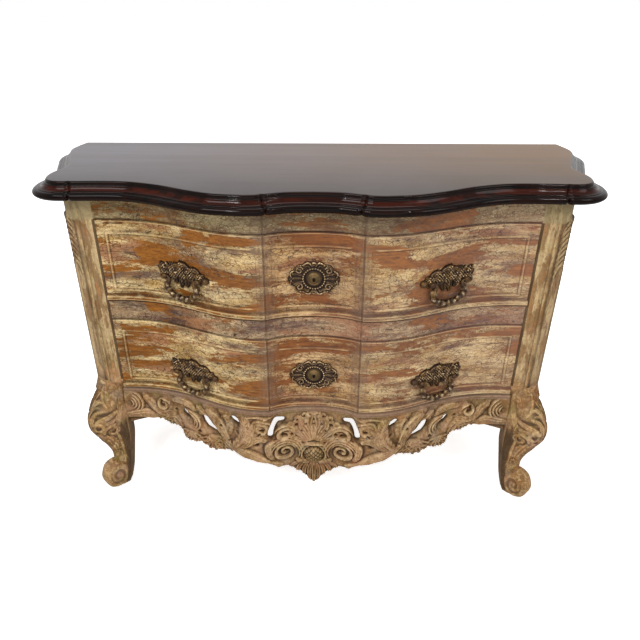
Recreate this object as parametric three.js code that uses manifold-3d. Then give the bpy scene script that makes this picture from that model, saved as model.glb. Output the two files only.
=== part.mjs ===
// A French provincial commode: two serpentine drawers in a carved and painted case
// on cabriole legs with scroll toes, under a moulded mahogany top.
// Millimetres, +X to the viewer's right, +Y to the back, +Z up. The origin is on the
// floor, under the middle of the moulded top.

import * as THREE from 'three';
import { mergeVertices } from 'three/addons/utils/BufferGeometryUtils.js';
import Module from 'manifold-3d';

const wasm = await Module();
wasm.setup();

// Driving dimensions of the whole piece
const overallWidth = 1498;
const overallDepth = 544;
const overallHeight = 948;
const topThickness = 42;
const topProjection = 33;
const topSideProjection = 45;
const postInset = 101;
const postWidth = 89;
const friezeHeight = 62;
const upperOpening = 230;
const middleRailHeight = 57;
const lowerOpening = 227;

// The serpentine face in plan: a hollow middle between two beaks, then long flanks
const faceSetback = 58;
const centreHollow = 27;
const flankSweep = 101;
const beakOffset = 121;
const grooveHalf = 4;
const grooveDepth = 4;
const centreEaseShare = 0.66;
const flankControlShares = [[0.41, -0.02], [0.476, 1.13]];
const flankSteps = 10;
const centreSteps = 3;

// Boards, posts and clearances
const fitGap = 0.3;
const railThickness = 48;
const postDepth = 95;
const postBackOffset = 40;
const rearPostWidth = 50;
const rearPostDepth = 52;
const backInset = 10;
const sideInset = 26;
const rearSideInset = 81;
const sideRailThickness = 22;
const sideRailHeight = 60;
const panelThickness = 12;
const panelSetback = 6;
const backRailThickness = 22;
const backPanelThickness = 8;
const dustThickness = 8;
const runnerThickness = 20;
const runnerWidth = 44;
const runnerReach = 39;
const guideWidth = 18;
const guideHeight = 20;

// Drawers
const revealGap = 1.6;
const frontThickness = 28;
const drawerSideThickness = 14;
const drawerSideClearance = 7;
const drawerSideHeight = 176;
const drawerBackGap = 24;
const drawerBackThickness = 12;
const drawerBottomThickness = 6;
const drawerBottomRise = 8;
const drawerTravelClearance = 1;

// Raised fields on the drawer fronts
const fieldBorderEnd = 29;
const fieldBorderTop = 30;
const fieldBorderBeak = 9;
const fieldBorderBottom = 25;
const beadRise = 4;
const fieldRise = 1;
const beadCrest = 4.5;
const beadWidth = 10;
const lipHeight = 17;
const lipRise = 7;
const lipRowShares = [0, 0.32, 0.78, 1];
const lipRiseShares = [0.3, 1, 0.9, 0];

// Derived levels and planes
const caseTop = overallHeight - topThickness;
const upperTop = caseTop - friezeHeight;
const upperBase = upperTop - upperOpening;
const lowerTop = upperBase - middleRailHeight;
const lowerBase = lowerTop - lowerOpening;
const beakFaceY = faceSetback - overallDepth / 2;
const centreFaceY = beakFaceY + centreHollow;
const endFaceY = beakFaceY + flankSweep;
const postOuterX = overallWidth / 2 - postInset;
const postInnerX = postOuterX - postWidth;
const postBackY = -postBackOffset;
const caseBackY = overallDepth / 2 - backInset;
const rearPostOuterX = overallWidth / 2 - rearSideInset;
const rearPostInnerX = rearPostOuterX - rearPostWidth;
const rearPostFrontY = caseBackY - rearPostDepth;
const backRailY = caseBackY - backPanelThickness - fitGap - backRailThickness;

// Finishes
function finish(color, roughness, metalness = 0) {
  return new THREE.MeshStandardMaterial({ color, roughness, metalness, flatShading: true });
}
const mahogany = finish(0x2a100b, 0.18);
const paintedWood = finish(0xb29468, 0.75);
const carvedWood = finish(0x8d7354, 0.7);
const plainWood = finish(0xa57c4b, 0.8);
const bronze = finish(0x4a3b2a, 0.4, 0.9);
const steel = finish(0x4c4a48, 0.45, 0.9);

const commode = new THREE.Group();

// Solids from points and triangles, turned the right way out
function solid(points, triangles) {
  const position = new Float32Array(points.flatMap((p) => [p.x, p.y, p.z]));
  let volume = 0;
  for (const [a, b, c] of triangles) {
    volume += points[a].dot(points[b].clone().cross(points[c]));
  }
  const index = volume > 0 ? triangles.flat() : triangles.flatMap(([a, b, c]) => [a, c, b]);
  const geometry = new THREE.BufferGeometry();
  geometry.setAttribute('position', new THREE.BufferAttribute(position, 3));
  geometry.setIndex(index);
  return geometry;
}

// A skin over rings of equal length, with both ends capped
function loft(rings) {
  const count = rings[0].length;
  const points = rings.flat();
  const triangles = [];
  for (let r = 0; r + 1 < rings.length; r += 1) {
    for (let i = 0; i < count; i += 1) {
      const a = r * count + i;
      const b = r * count + ((i + 1) % count);
      triangles.push([a, b, b + count], [a, b + count, a + count]);
    }
  }
  const last = (rings.length - 1) * count;
  for (const [a, b, c] of capTriangles(rings[0])) triangles.push([a, c, b]);
  for (const [a, b, c] of capTriangles(rings.at(-1))) triangles.push([a + last, b + last, c + last]);
  return solid(points, triangles);
}

// Triangles over a flat ring, in the ring's own turning direction
function capTriangles(ring) {
  const normal = new THREE.Vector3();
  ring.forEach((p, i) => normal.add(p.clone().cross(ring[(i + 1) % ring.length])));
  const size = normal.toArray().map(Math.abs);
  const drop = size.indexOf(Math.max(...size));
  const flat = ring.map((p) => {
    const kept = p.toArray().filter((_, axis) => axis !== drop);
    return new THREE.Vector2(kept[0], kept[1]);
  });
  const faces = THREE.ShapeUtils.triangulateShape(flat, []);
  const straight = THREE.ShapeUtils.area(flat) > 0;
  return faces.map(([a, b, c]) => {
    const turn = flat[b].clone().sub(flat[a]).cross(flat[c].clone().sub(flat[a])) > 0;
    return turn === straight ? [a, b, c] : [a, c, b];
  });
}

// Joining and cutting
function asManifold(geometry) {
  const bare = geometry.clone();
  bare.deleteAttribute('normal');
  bare.deleteAttribute('uv');
  const merged = mergeVertices(bare);
  return new wasm.Manifold(new wasm.Mesh({
    numProp: 3,
    vertProperties: new Float32Array(merged.attributes.position.array),
    triVerts: new Uint32Array(merged.index.array),
  }));
}

function asGeometry(body) {
  const mesh = body.getMesh();
  const geometry = new THREE.BufferGeometry();
  const position = new Float32Array(mesh.vertProperties);
  geometry.setAttribute('position', new THREE.BufferAttribute(position, 3));
  geometry.setIndex(new THREE.BufferAttribute(new Uint32Array(mesh.triVerts), 1));
  return geometry;
}

function cut(geometry, ...tools) {
  let body = asManifold(geometry);
  for (const tool of tools) body = body.subtract(asManifold(tool));
  return asGeometry(body);
}

function join(geometry, ...others) {
  let body = asManifold(geometry);
  for (const other of others) body = body.add(asManifold(other));
  return asGeometry(body);
}

function common(geometry, other) {
  return asGeometry(asManifold(geometry).intersect(asManifold(other)));
}

function mirrored(geometry) {
  const copy = geometry.clone();
  const position = copy.attributes.position;
  for (let i = 0; i < position.count; i += 1) position.setX(i, -position.getX(i));
  const index = copy.index.array;
  for (let i = 0; i < index.length; i += 3) [index[i], index[i + 1]] = [index[i + 1], index[i]];
  return copy;
}

function box(x0, y0, z0, x1, y1, z1) {
  const geometry = new THREE.BoxGeometry(x1 - x0, y1 - y0, z1 - z0);
  return geometry.translate((x0 + x1) / 2, (y0 + y1) / 2, (z0 + z1) / 2);
}

// A turned rod along +Z from the origin, of [radius, height] steps
function turned(profile, sides) {
  const points = profile.map(([radius, height]) => new THREE.Vector2(radius, height));
  return mergeVertices(new THREE.LatheGeometry(points, sides).rotateX(Math.PI / 2));
}

function rod(radius, length, sides = 12) {
  return bareGeometry(turned([[0, 0], [radius, 0], [radius, length], [0, length]], sides));
}

function bareGeometry(geometry) {
  const copy = geometry.clone();
  copy.deleteAttribute('normal');
  copy.deleteAttribute('uv');
  return mergeVertices(copy);
}

function addPiece(name, geometry, material, parent = commode) {
  const mesh = new THREE.Mesh(geometry, material);
  mesh.name = name;
  parent.add(mesh);
  return mesh;
}

// The face line, as one set of chords that every serpentine piece shares
const centreLine = new THREE.QuadraticBezierCurve(
  new THREE.Vector2(0, centreFaceY),
  new THREE.Vector2(centreEaseShare * beakOffset, centreFaceY),
  new THREE.Vector2(beakOffset, beakFaceY),
);
const flankRun = postInnerX - beakOffset;
const [flankStartShares, flankEndShares] = flankControlShares;

function flankPoint([runShare, sweepShare]) {
  return new THREE.Vector2(beakOffset + runShare * flankRun, beakFaceY + sweepShare * flankSweep);
}
const flankLine = new THREE.CubicBezierCurve(
  flankPoint([0, 0]),
  flankPoint(flankStartShares),
  flankPoint(flankEndShares),
  flankPoint([1, 1]),
);
const faceLine = [
  ...centreLine.getPoints(centreSteps).slice(0, -1),
  ...flankLine.getPoints(flankSteps),
];

function alongLine(line, run) {
  const next = Math.max(1, line.findIndex((p) => p.x >= run));
  const last = next > 0 && line[next] ? next : line.length - 1;
  const from = line[last - 1];
  const to = line[last];
  return from.y + ((to.y - from.y) * (run - from.x)) / (to.x - from.x);
}

function faceY(x) {
  return alongLine(faceLine, Math.min(Math.abs(x), postInnerX));
}

// The hindmost point that a face line shifted back by depth reaches between two sides
function behindFace(x0, x1, depth) {
  const inside = faceLine.filter((p) => p.x > x0 && p.x < x1).map((p) => p.y);
  return Math.max(faceY(x0), faceY(x1), ...inside) + depth;
}

// Stations across the face: the shared chords with a piece's own lines among them
function stations(from, to, own = []) {
  const shared = faceLine.flatMap((p) => [p.x, -p.x]);
  const all = [from, to, ...shared, ...own].filter((x) => x >= from && x <= to);
  const sorted = [...all].sort((a, b) => a - b);
  return sorted.filter((x, i) => i === 0 || x - sorted[i - 1] > fitGap);
}

// A board bent along a line: columns by stations, rows by shares of its height
function bentBoard({ columns, rows, low, high, out, back, place }) {
  const points = [];
  const triangles = [];
  const rowCount = rows.length;
  const stride = rowCount + 2;
  for (const u of columns) {
    const z0 = low(u);
    const rise = high(u) - z0;
    for (const v of rows) {
      const z = z0 + v * rise;
      const [x, y] = place(u, out(u, z));
      points.push(new THREE.Vector3(x, y, z));
    }
    const [x, y] = place(u, -back(u));
    points.push(new THREE.Vector3(x, y, z0), new THREE.Vector3(x, y, z0 + rise));
  }
  for (let c = 0; c + 1 < columns.length; c += 1) {
    const here = c * stride;
    const next = here + stride;
    for (let r = 0; r + 1 < rowCount; r += 1) {
      triangles.push([here + r, next + r, next + r + 1], [here + r, next + r + 1, here + r + 1]);
    }
    const ring = [rowCount - 1, rowCount + 1, rowCount, 0];
    for (let k = 0; k + 1 < ring.length; k += 1) {
      const [a, b] = [ring[k], ring[k + 1]];
      triangles.push([here + a, next + a, next + b], [here + a, next + b, here + b]);
    }
  }
  const end = (columns.length - 1) * stride;
  for (let r = 0; r + 1 < rowCount; r += 1) {
    triangles.push([rowCount, r, r + 1], [end + rowCount, end + r + 1, end + r]);
  }
  triangles.push([rowCount, rowCount - 1, rowCount + 1]);
  triangles.push([end + rowCount, end + rowCount + 1, end + rowCount - 1]);
  return solid(points, triangles);
}

const onFace = (x, out) => [x, faceY(x) - out];

// The V cut that runs down both beaks
function grooveAt(x) {
  const off = Math.abs(Math.abs(x) - beakOffset);
  return off < grooveHalf ? grooveDepth * (1 - off / grooveHalf) : 0;
}
const grooveColumns = [-1, 1].flatMap((side) => [-1, 0, 1].map((k) => side * beakOffset + k * grooveHalf));

// The moulded top
const topHalfWidth = overallWidth / 2 - topSideProjection;
const topHalfDepth = overallDepth / 2;
const topFrontDepth = topHalfDepth - topProjection;
const topSideShares = [
  [0.983, 1], [1, 0.72], [0.974, 0.478], [0.943, 0.243], [0.918, 0.05], [0.921, -0.1], [0.931, -0.2],
  [0.936, -0.29],
];
const topEarShares = [[0.936, -0.29], [0.936, -0.58], [0.87, -0.58]];
const topFlankShares = [
  [0.84, -0.578], [0.73, -0.565], [0.63, -0.585], [0.52, -0.69], [0.42, -0.845], [0.33, -0.957],
  [0.24, -0.998], [0.213, -1],
];
const topCentreShares = [[0.192, -0.995], [0.155, -0.958], [0.091, -0.9], [0, -0.883]];
const topEdgeShares = [
  [0, 0], [0.17, 0.05], [0.22, 0.2], [0.33, 0.26], [0.45, 0.46], [0.66, 0.54], [0.94, 0.64], [1, 0.79],
  [0.93, 0.91], [0.8, 1],
];

function topPoint([widthShare, depthShare]) {
  const depth = depthShare > 0 ? topHalfDepth : topFrontDepth;
  return new THREE.Vector2(widthShare * topHalfWidth, depthShare * depth);
}

function topOutline() {
  const sideLine = new THREE.SplineCurve(topSideShares.map(topPoint)).getPoints(10);
  const ear = new THREE.QuadraticBezierCurve(...topEarShares.map(topPoint)).getPoints(4);
  const flank = new THREE.SplineCurve(topFlankShares.map(topPoint)).getPoints(13);
  const middle = new THREE.SplineCurve(topCentreShares.map(topPoint)).getPoints(4);
  const half = [...sideLine, ...ear.slice(1), ...flank, ...middle];
  const other = half.slice(0, -1).reverse().map((p) => new THREE.Vector2(-p.x, p.y));
  return [...half, ...other];
}

function topBoard() {
  const outline = topOutline();
  const count = outline.length;
  const ways = outline.map((p, i) => {
    const before = i === 0 ? p : outline[i - 1];
    const after = i === count - 1 ? p : outline[i + 1];
    const along = after.clone().sub(before);
    return new THREE.Vector2(along.y, -along.x).normalize().negate();
  });
  ways[0] = new THREE.Vector2(1, 0);
  ways[count - 1] = new THREE.Vector2(-1, 0);
  const rings = topEdgeShares.map(([outShare, dropShare]) => outline.map((p, i) => {
    const x = p.x + ways[i].x * outShare * topSideProjection;
    const y = p.y + ways[i].y * outShare * topProjection;
    return new THREE.Vector3(x, y, overallHeight - dropShare * topThickness);
  }));
  return loft(rings);
}

addPiece('top_board', topBoard(), mahogany);

// Rails across the front
const boltWidth = 28;
const boltThickness = 6;
const boltLength = 70;
const boltThrow = 9;
const lockInset = 3;
const boltSlack = 1;
const boltFrontY = centreFaceY + frontThickness + lockInset;
const railEnd = postInnerX - fitGap;

function frontRail(z0, z1) {
  return bentBoard({
    columns: stations(-railEnd, railEnd, grooveColumns),
    rows: [0, 1],
    low: () => z0,
    high: () => z1,
    out: (x) => -grooveAt(x),
    back: () => railThickness,
    place: onFace,
  });
}

// The slot in a rail's underside that the lock bolt below it enters
function boltMortise(railBase) {
  const side = boltWidth / 2 + boltSlack;
  const frontY = boltFrontY - boltSlack;
  const backY = boltFrontY + boltThickness + boltSlack;
  return box(-side, frontY, railBase - boltThrow, side, backY, railBase + boltThrow + boltSlack);
}

addPiece('frieze_rail', cut(frontRail(upperTop, caseTop), boltMortise(upperTop)), paintedWood);
addPiece('middle_rail', cut(frontRail(lowerTop, upperBase), boltMortise(lowerTop)), paintedWood);

// The pierced apron, with its shaped lower edge
const apronThickness = 26;
const apronProud = 10;
const apronCarve = 9;
const apronDrop = 277;
const lowerRailHeight = 32;
const cartoucheRise = 17;
const cartoucheHalfWidth = 70;
const cartoucheHalfHeight = 80;
const cartoucheCentreShare = 0.5;
const scrollRise = 9;
const apronBandShare = 0.07;
const apronRowShares = [0, 0.12, 0.32, 0.54, 0.76, 0.92, 1];
const apronEdgeShares = [
  [0, 1], [0.045, 0.892], [0.098, 0.813], [0.134, 0.744], [0.179, 0.729], [0.216, 0.65], [0.29, 0.621],
  [0.358, 0.584], [0.408, 0.538], [0.447, 0.57], [0.488, 0.574], [0.533, 0.621], [0.565, 0.61],
  [0.603, 0.56], [0.646, 0.577], [0.685, 0.571], [0.708, 0.444], [0.769, 0.416], [0.826, 0.367],
  [0.88, 0.388], [0.93, 0.411], [1, 0.44],
];
const apronPiercings = [
  { xShare: 0.2, dropShare: 0.242, lengthShare: 0.075, widthShare: 0.034, turn: -1.0 },
  { xShare: 0.398, dropShare: 0.162, lengthShare: 0.034, widthShare: 0.013, turn: 0.5 },
  { xShare: 0.55, dropShare: 0.307, lengthShare: 0.036, widthShare: 0.015, turn: 0.9 },
  { xShare: 0.664, dropShare: 0.267, lengthShare: 0.034, widthShare: 0.013, turn: 0.6 },
  { xShare: 0.797, dropShare: 0.125, lengthShare: 0.011, widthShare: 0.007, turn: 0.8 },
];
const apronScrollShares = [{ at: 0.37, drop: 0.36, reach: 0.13 }, { at: 0.62, drop: 0.42, reach: 0.1 },
  { at: 0.86, drop: 0.16, reach: 0.13 }];
const apronEdge = apronEdgeShares.map(([x, drop]) => new THREE.Vector2(x * postInnerX, drop * apronDrop));

function apronLow(x) {
  return lowerBase - alongLine(apronEdge, Math.min(Math.abs(x), postInnerX));
}

function swell(distance) {
  return distance < 1 ? (1 + Math.cos(Math.PI * distance)) / 2 : 0;
}

function apronRelief(x, z) {
  const drop = (lowerBase - z) / apronDrop;
  const below = (drop - cartoucheCentreShare) * apronDrop;
  const middle = Math.hypot(x / cartoucheHalfWidth, below / cartoucheHalfHeight);
  const scrolls = apronScrollShares.map(({ at, drop: level, reach }) => {
    const across = (Math.abs(x) / postInnerX - at) / reach;
    return swell(Math.hypot(across, (drop - level) * apronDrop / (reach * postInnerX)));
  });
  const band = Math.min(1, drop / apronBandShare);
  return apronProud + band * (apronCarve * swell(Math.max(0, 1 - band)) + cartoucheRise * swell(middle)
    + scrollRise * Math.max(...scrolls));
}

function piercing({ xShare, dropShare, lengthShare, widthShare, turn }) {
  const shape = new THREE.Shape();
  shape.absellipse(0, 0, lengthShare * postInnerX, widthShare * postInnerX, 0, 2 * Math.PI, false, 0);
  const reach = overallDepth / 2;
  const geometry = new THREE.ExtrudeGeometry(shape, { depth: reach, bevelEnabled: false, curveSegments: 5 });
  geometry.rotateZ(turn).rotateX(Math.PI / 2);
  const x = xShare * postInnerX;
  return bareGeometry(geometry).translate(x, faceY(x) + reach / 2, lowerBase - dropShare * apronDrop);
}

const apronBoard = bentBoard({
  columns: stations(-railEnd, railEnd, apronEdge.flatMap((p) => [p.x, -p.x])),
  rows: apronRowShares,
  low: apronLow,
  high: () => lowerBase,
  out: apronRelief,
  back: () => apronThickness - apronProud,
  place: onFace,
});
const piercings = apronPiercings.map(piercing);
addPiece('carved_apron', cut(apronBoard, ...piercings, ...piercings.map(mirrored)), carvedWood);

const lowerRailInset = apronThickness - apronProud + fitGap;
const lowerRailDepth = lowerRailInset + railThickness - frontThickness + sideRailThickness;
addPiece('lower_rail', bentBoard({
  columns: stations(-railEnd, railEnd),
  rows: [0, 1],
  low: () => lowerBase - lowerRailHeight,
  high: () => lowerBase,
  out: () => -lowerRailInset,
  back: () => lowerRailDepth,
  place: onFace,
}), plainWood);

// Front posts: a canted corner with a sunk panel, running down into the carved leg
const postPanelShares = [
  [0, 0.77], [0.3, 0.86], [0.335, 0.93], [0.42, 0.95], [0.455, 0.86], [0.6, 0.72], [0.8, 0.535],
  [0.865, 0.56], [0.95, 0.47], [0.975, 0.38], [1, 0.3], [1, 0], [0.66, 0], [0.33, 0], [0, 0], [0, 0.4],
];
const postBlockShares = [
  [0, 0.77], [0.3, 0.86], [0.36, 0.9], [0.45, 0.89], [0.52, 0.86], [0.64, 0.78], [0.78, 0.68],
  [0.86, 0.61], [0.93, 0.52], [0.98, 0.42], [1, 0.3], [1, 0], [0.66, 0], [0.33, 0], [0, 0], [0, 0.4],
];
const legSectionShares = [
  [-1, 0.25], [-0.66, 0.6], [-0.4, 0.84], [-0.1, 0.98], [0.2, 1], [0.52, 0.94], [0.75, 0.78],
  [0.9, 0.58], [0.99, 0.3], [1, 0], [0.93, -0.3], [0.6, -0.72], [0.3, -0.92], [-0.3, -1], [-1, -1],
  [-1, -0.4],
];
const legRowShares = [
  { height: 0.9, inner: 0, outer: 1.07, back: 0, front: 1.03 },
  { height: 0.84, inner: 0, outer: 1.18, back: 0, front: 1.18 },
  { height: 0.77, inner: 0, outer: 1.27, back: 0.02, front: 1.36 },
  { height: 0.7, inner: 0, outer: 1.32, back: 0.06, front: 1.49 },
  { height: 0.62, inner: 0, outer: 1.28, back: 0.12, front: 1.53 },
  { height: 0.53, inner: 0, outer: 1.07, back: 0.22, front: 1.46 },
  { height: 0.45, inner: 0.02, outer: 0.84, back: 0.34, front: 1.39 },
  { height: 0.37, inner: 0.06, outer: 0.68, back: 0.47, front: 1.36 },
  { height: 0.28, inner: 0.08, outer: 0.64, back: 0.57, front: 1.38 },
  { height: 0.2, inner: 0.1, outer: 0.67, back: 0.65, front: 1.42 },
  { height: 0.12, inner: 0.12, outer: 0.7, back: 0.75, front: 1.45 },
  { height: 0.05, inner: 0.16, outer: 0.72, back: 0.85, front: 1.43 },
  { height: 0, inner: 0.2, outer: 0.68, back: 0.92, front: 1.37 },
];
const postPanelMargin = 14;
const panelEdge = 4;
const toeOutShare = 0.56;
const toeForwardShare = 1.4;
const toeHeight = 52;
const toeRise = 53;
const toeReach = 40;
const toeSides = 14;
const toeProfileShares = [
  [-1.14, 0.2], [-0.98, 0.28], [-0.96, 0.76], [-0.78, 0.95], [0, 1.02], [0.78, 0.95], [0.96, 0.76],
  [0.98, 0.28], [1.14, 0.2],
];
const toeHalfThickness = 25;

function postPoint([outShare, forwardShare], z) {
  return new THREE.Vector3(postInnerX + outShare * postWidth, postBackY - forwardShare * postDepth, z);
}

function legRing({ height, inner, outer, back, front }) {
  return legSectionShares.map(([across, forward]) => postPoint([
    (inner + outer) / 2 + (across * (outer - inner)) / 2,
    (back + front) / 2 + (forward * (front - back)) / 2,
  ], height * lowerBase));
}

function scrollToe() {
  const across = new THREE.Vector3(-Math.SQRT1_2, -Math.SQRT1_2, 0);
  const outward = new THREE.Vector3(Math.SQRT1_2, -Math.SQRT1_2, 0);
  const centre = postPoint([toeOutShare, toeForwardShare], toeHeight);
  return loft(toeProfileShares.map(([along, size]) => Array.from({ length: toeSides }, (_, i) => {
    const angle = (2 * Math.PI * i) / toeSides;
    return centre.clone()
      .addScaledVector(across, along * toeHalfThickness)
      .addScaledVector(outward, Math.cos(angle) * size * toeReach)
      .add(new THREE.Vector3(0, 0, Math.sin(angle) * size * toeRise));
  })));
}

function frontPost() {
  const panelTop = upperTop - panelEdge;
  const panelBase = lowerBase + postPanelMargin;
  const rings = [
    postBlockShares.map((share) => postPoint(share, caseTop)),
    postBlockShares.map((share) => postPoint(share, panelTop)),
    postPanelShares.map((share) => postPoint(share, panelTop - panelEdge)),
    postPanelShares.map((share) => postPoint(share, panelBase + panelEdge)),
    postBlockShares.map((share) => postPoint(share, panelBase)),
    ...legRowShares.map(legRing),
  ];
  const under = box(-overallWidth, -overallWidth, -toeRise, overallWidth, overallWidth, 0);
  return cut(join(loft(rings), scrollToe()), under);
}

const frontPostRight = frontPost();
addPiece('front_post_right', frontPostRight, carvedWood);
addPiece('front_post_left', mirrored(frontPostRight), carvedWood);

// Rear posts, with a plainer cabriole leg that sweeps out to the side only
const rearSectionShares = [
  [-1, -1], [0.5, -1], [0.9, -0.75], [1, -0.35], [1, 0.4], [0.9, 0.8], [0.6, 1], [-1, 1],
];
const rearLegRowShares = [
  { height: 0.81, inner: 0, outer: 1.12, front: 0 },
  { height: 0.7, inner: 0, outer: 1.32, front: -0.08 },
  { height: 0.6, inner: 0, outer: 1.34, front: -0.1 },
  { height: 0.48, inner: 0, outer: 1.1, front: 0.05 },
  { height: 0.34, inner: 0, outer: 0.9, front: 0.2 },
  { height: 0.18, inner: 0.1, outer: 0.96, front: 0.2 },
  { height: 0.07, inner: 0.2, outer: 1.2, front: 0.1 },
  { height: 0.02, inner: 0.22, outer: 1.24, front: 0.1 },
  { height: 0, inner: 0.26, outer: 1.16, front: 0.14 },
];

function rearRing({ height, inner, outer, front }) {
  return rearSectionShares.map(([across, deep]) => {
    const x = (inner + outer) / 2 + (across * (outer - inner)) / 2;
    const y = (front + 1) / 2 + (deep * (1 - front)) / 2;
    return new THREE.Vector3(rearPostInnerX + x * rearPostWidth, rearPostFrontY + y * rearPostDepth, height);
  });
}

function rearPost() {
  const square = { inner: 0, outer: 1, front: 0 };
  const levels = [{ ...square, height: caseTop }, { ...square, height: lowerBase }];
  const legs = rearLegRowShares.map((row) => ({ ...row, height: row.height * lowerBase }));
  return loft([...levels, ...legs].map(rearRing));
}

const rearPostRight = rearPost();
addPiece('rear_post_right', rearPostRight, paintedWood);
addPiece('rear_post_left', mirrored(rearPostRight), paintedWood);

// Serpentine sides: a sunk panel between two rails, from post to post
const sideFrontX = postOuterX - sideInset;
const sideControlShares = [[-0.22, 0.32], [1.1, 0.52]];
const sideSteps = 9;
const sideFieldMargin = 45;
const sideFieldEdge = 8;
const sideFieldRise = 5;
const sideArch = 26;
const sideStart = postBackY + fitGap;
const sideEnd = rearPostFrontY - fitGap;
const sideBackX = rearPostOuterX - panelSetback;
const [sideNearShares, sideFarShares] = sideControlShares;

function sidePoint([outShare, runShare]) {
  return new THREE.Vector2(
    sideStart + runShare * (sideEnd - sideStart),
    sideFrontX + outShare * (sideBackX - sideFrontX),
  );
}
const sideLine = new THREE.CubicBezierCurve(
  sidePoint([0, 0]), sidePoint(sideNearShares), sidePoint(sideFarShares), sidePoint([1, 1]),
).getPoints(sideSteps);
const sideX = (y) => alongLine(sideLine, y);
const onSide = (y, out) => [sideX(y) + out, y];
const sideColumns = sideLine.map((p) => p.x);
const sidePanelBase = lowerBase;
const sidePanelTop = caseTop - sideRailHeight;

function sideFieldColumns() {
  const edges = [sideStart + sideFieldMargin, sideEnd - sideFieldMargin];
  return [...sideColumns, edges[0], edges[0] + sideFieldEdge, edges[1] - sideFieldEdge, edges[1]]
    .sort((a, b) => a - b);
}

function sideField(y, z) {
  const inside = Math.min(y - sideStart, sideEnd - y, z - sidePanelBase, sidePanelTop - z) - sideFieldMargin;
  return sideFieldRise * Math.min(1, Math.max(0, inside / sideFieldEdge)) - panelSetback;
}

const sidePanelHeight = sidePanelTop - sidePanelBase - 2 * fitGap;
const sideFieldSteps = [0, sideFieldMargin, sideFieldMargin + sideFieldEdge];
const fieldStepShares = sideFieldSteps.map((step) => step / sidePanelHeight);
const sidePanel = bentBoard({
  columns: sideFieldColumns(),
  rows: [...fieldStepShares, ...fieldStepShares.map((share) => 1 - share).reverse()],
  low: () => sidePanelBase + fitGap,
  high: () => sidePanelTop - fitGap,
  out: sideField,
  back: () => panelSetback + panelThickness,
  place: onSide,
});

function sideRail(low, high) {
  return bentBoard({
    columns: sideColumns,
    rows: [0, 1],
    low,
    high,
    out: () => 0,
    back: () => sideRailThickness,
    place: onSide,
  });
}

function archedLow(y) {
  const fromMiddle = Math.abs((y - sideStart) / (sideEnd - sideStart) - 1 / 2);
  return sidePanelBase - sideRailHeight + sideArch * swell(2 * fromMiddle);
}
const sideTopRail = sideRail(() => sidePanelTop, () => caseTop);
const sideBottomRail = sideRail(archedLow, () => sidePanelBase);
for (const [name, geometry] of [['side_panel', sidePanel], ['side_top_rail', sideTopRail],
  ['side_bottom_rail', sideBottomRail]]) {
  addPiece(`${name}_right`, geometry, paintedWood);
  addPiece(`${name}_left`, mirrored(geometry), paintedWood);
}

// The back: three rails between the rear posts, with a thin panel nailed over them
const backEnd = rearPostInnerX - fitGap;
const backRails = [
  ['back_top_rail', caseTop - sideRailHeight, caseTop],
  ['back_middle_rail', upperBase - sideRailHeight, upperBase],
  ['back_bottom_rail', lowerBase - sideRailHeight, lowerBase],
];
for (const [name, z0, z1] of backRails) {
  addPiece(name, box(-backEnd, backRailY, z0, backEnd, backRailY + backRailThickness, z1), plainWood);
}
const backPanelBase = lowerBase - sideRailHeight;
const backPanelFrontY = caseBackY - backPanelThickness;
addPiece('back_panel', box(-backEnd, backPanelFrontY, backPanelBase, backEnd, caseBackY, caseTop - fitGap),
  plainWood);

// Runners, each with a guide beside the drawer and a stop behind it, then kickers and dust boards
const drawerBackY = backRailY - drawerBackGap;
const runnerInnerX = postInnerX - runnerWidth;
const runnerFrontY = (depth) => behindFace(runnerInnerX, postInnerX, depth) + fitGap;
const drawerOuterX = postInnerX - drawerSideClearance;

function runner(top, frontY) {
  const outerX = postInnerX + runnerReach;
  const rearY = backRailY - fitGap;
  const shape = new THREE.Shape([
    new THREE.Vector2(runnerInnerX, frontY),
    new THREE.Vector2(postInnerX - fitGap, frontY),
    new THREE.Vector2(postInnerX - fitGap, postBackY + fitGap),
    new THREE.Vector2(outerX, postBackY + fitGap),
    new THREE.Vector2(outerX, rearY),
    new THREE.Vector2(runnerInnerX, rearY),
  ]);
  const slab = new THREE.ExtrudeGeometry(shape, { depth: runnerThickness, bevelEnabled: false });
  const base = bareGeometry(slab).translate(0, 0, top - runnerThickness);
  const guideX = drawerOuterX + drawerTravelClearance;
  const guideEnd = guideX + guideWidth;
  const foot = top - runnerThickness / 2;
  const guide = box(guideX, postBackY + fitGap, foot, guideEnd, rearPostFrontY, top + guideHeight);
  const stop = box(runnerInnerX, drawerBackY + fitGap, foot, guideEnd, rearY, top + guideHeight);
  return join(base, guide, stop);
}

const runnerLevels = [['upper', upperBase, railThickness], ['lower', lowerBase, lowerRailDepth]];
for (const [level, top, depth] of runnerLevels) {
  const geometry = runner(top, runnerFrontY(depth));
  addPiece(`${level}_runner_right`, geometry, plainWood);
  addPiece(`${level}_runner_left`, mirrored(geometry), plainWood);
}

const kickerFrontY = runnerFrontY(railThickness);
const kicker = box(runnerInnerX, kickerFrontY, upperTop, postInnerX - fitGap, backRailY - fitGap, caseTop);
addPiece('kicker_right', kicker, plainWood);
addPiece('kicker_left', mirrored(bareGeometry(kicker)), plainWood);

// A flat board whose front edge follows the face line at a depth behind it
function planBoard(halfWidth, depth, backY, z0, z1) {
  const front = stations(-halfWidth, halfWidth).map((x) => new THREE.Vector2(x, faceY(x) + depth));
  const back = [halfWidth, -halfWidth].map((x) => new THREE.Vector2(x, backY));
  const shape = new THREE.Shape([...front, ...back]);
  const geometry = new THREE.ExtrudeGeometry(shape, { depth: z1 - z0, bevelEnabled: false });
  return bareGeometry(geometry).translate(0, 0, z0);
}

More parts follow.
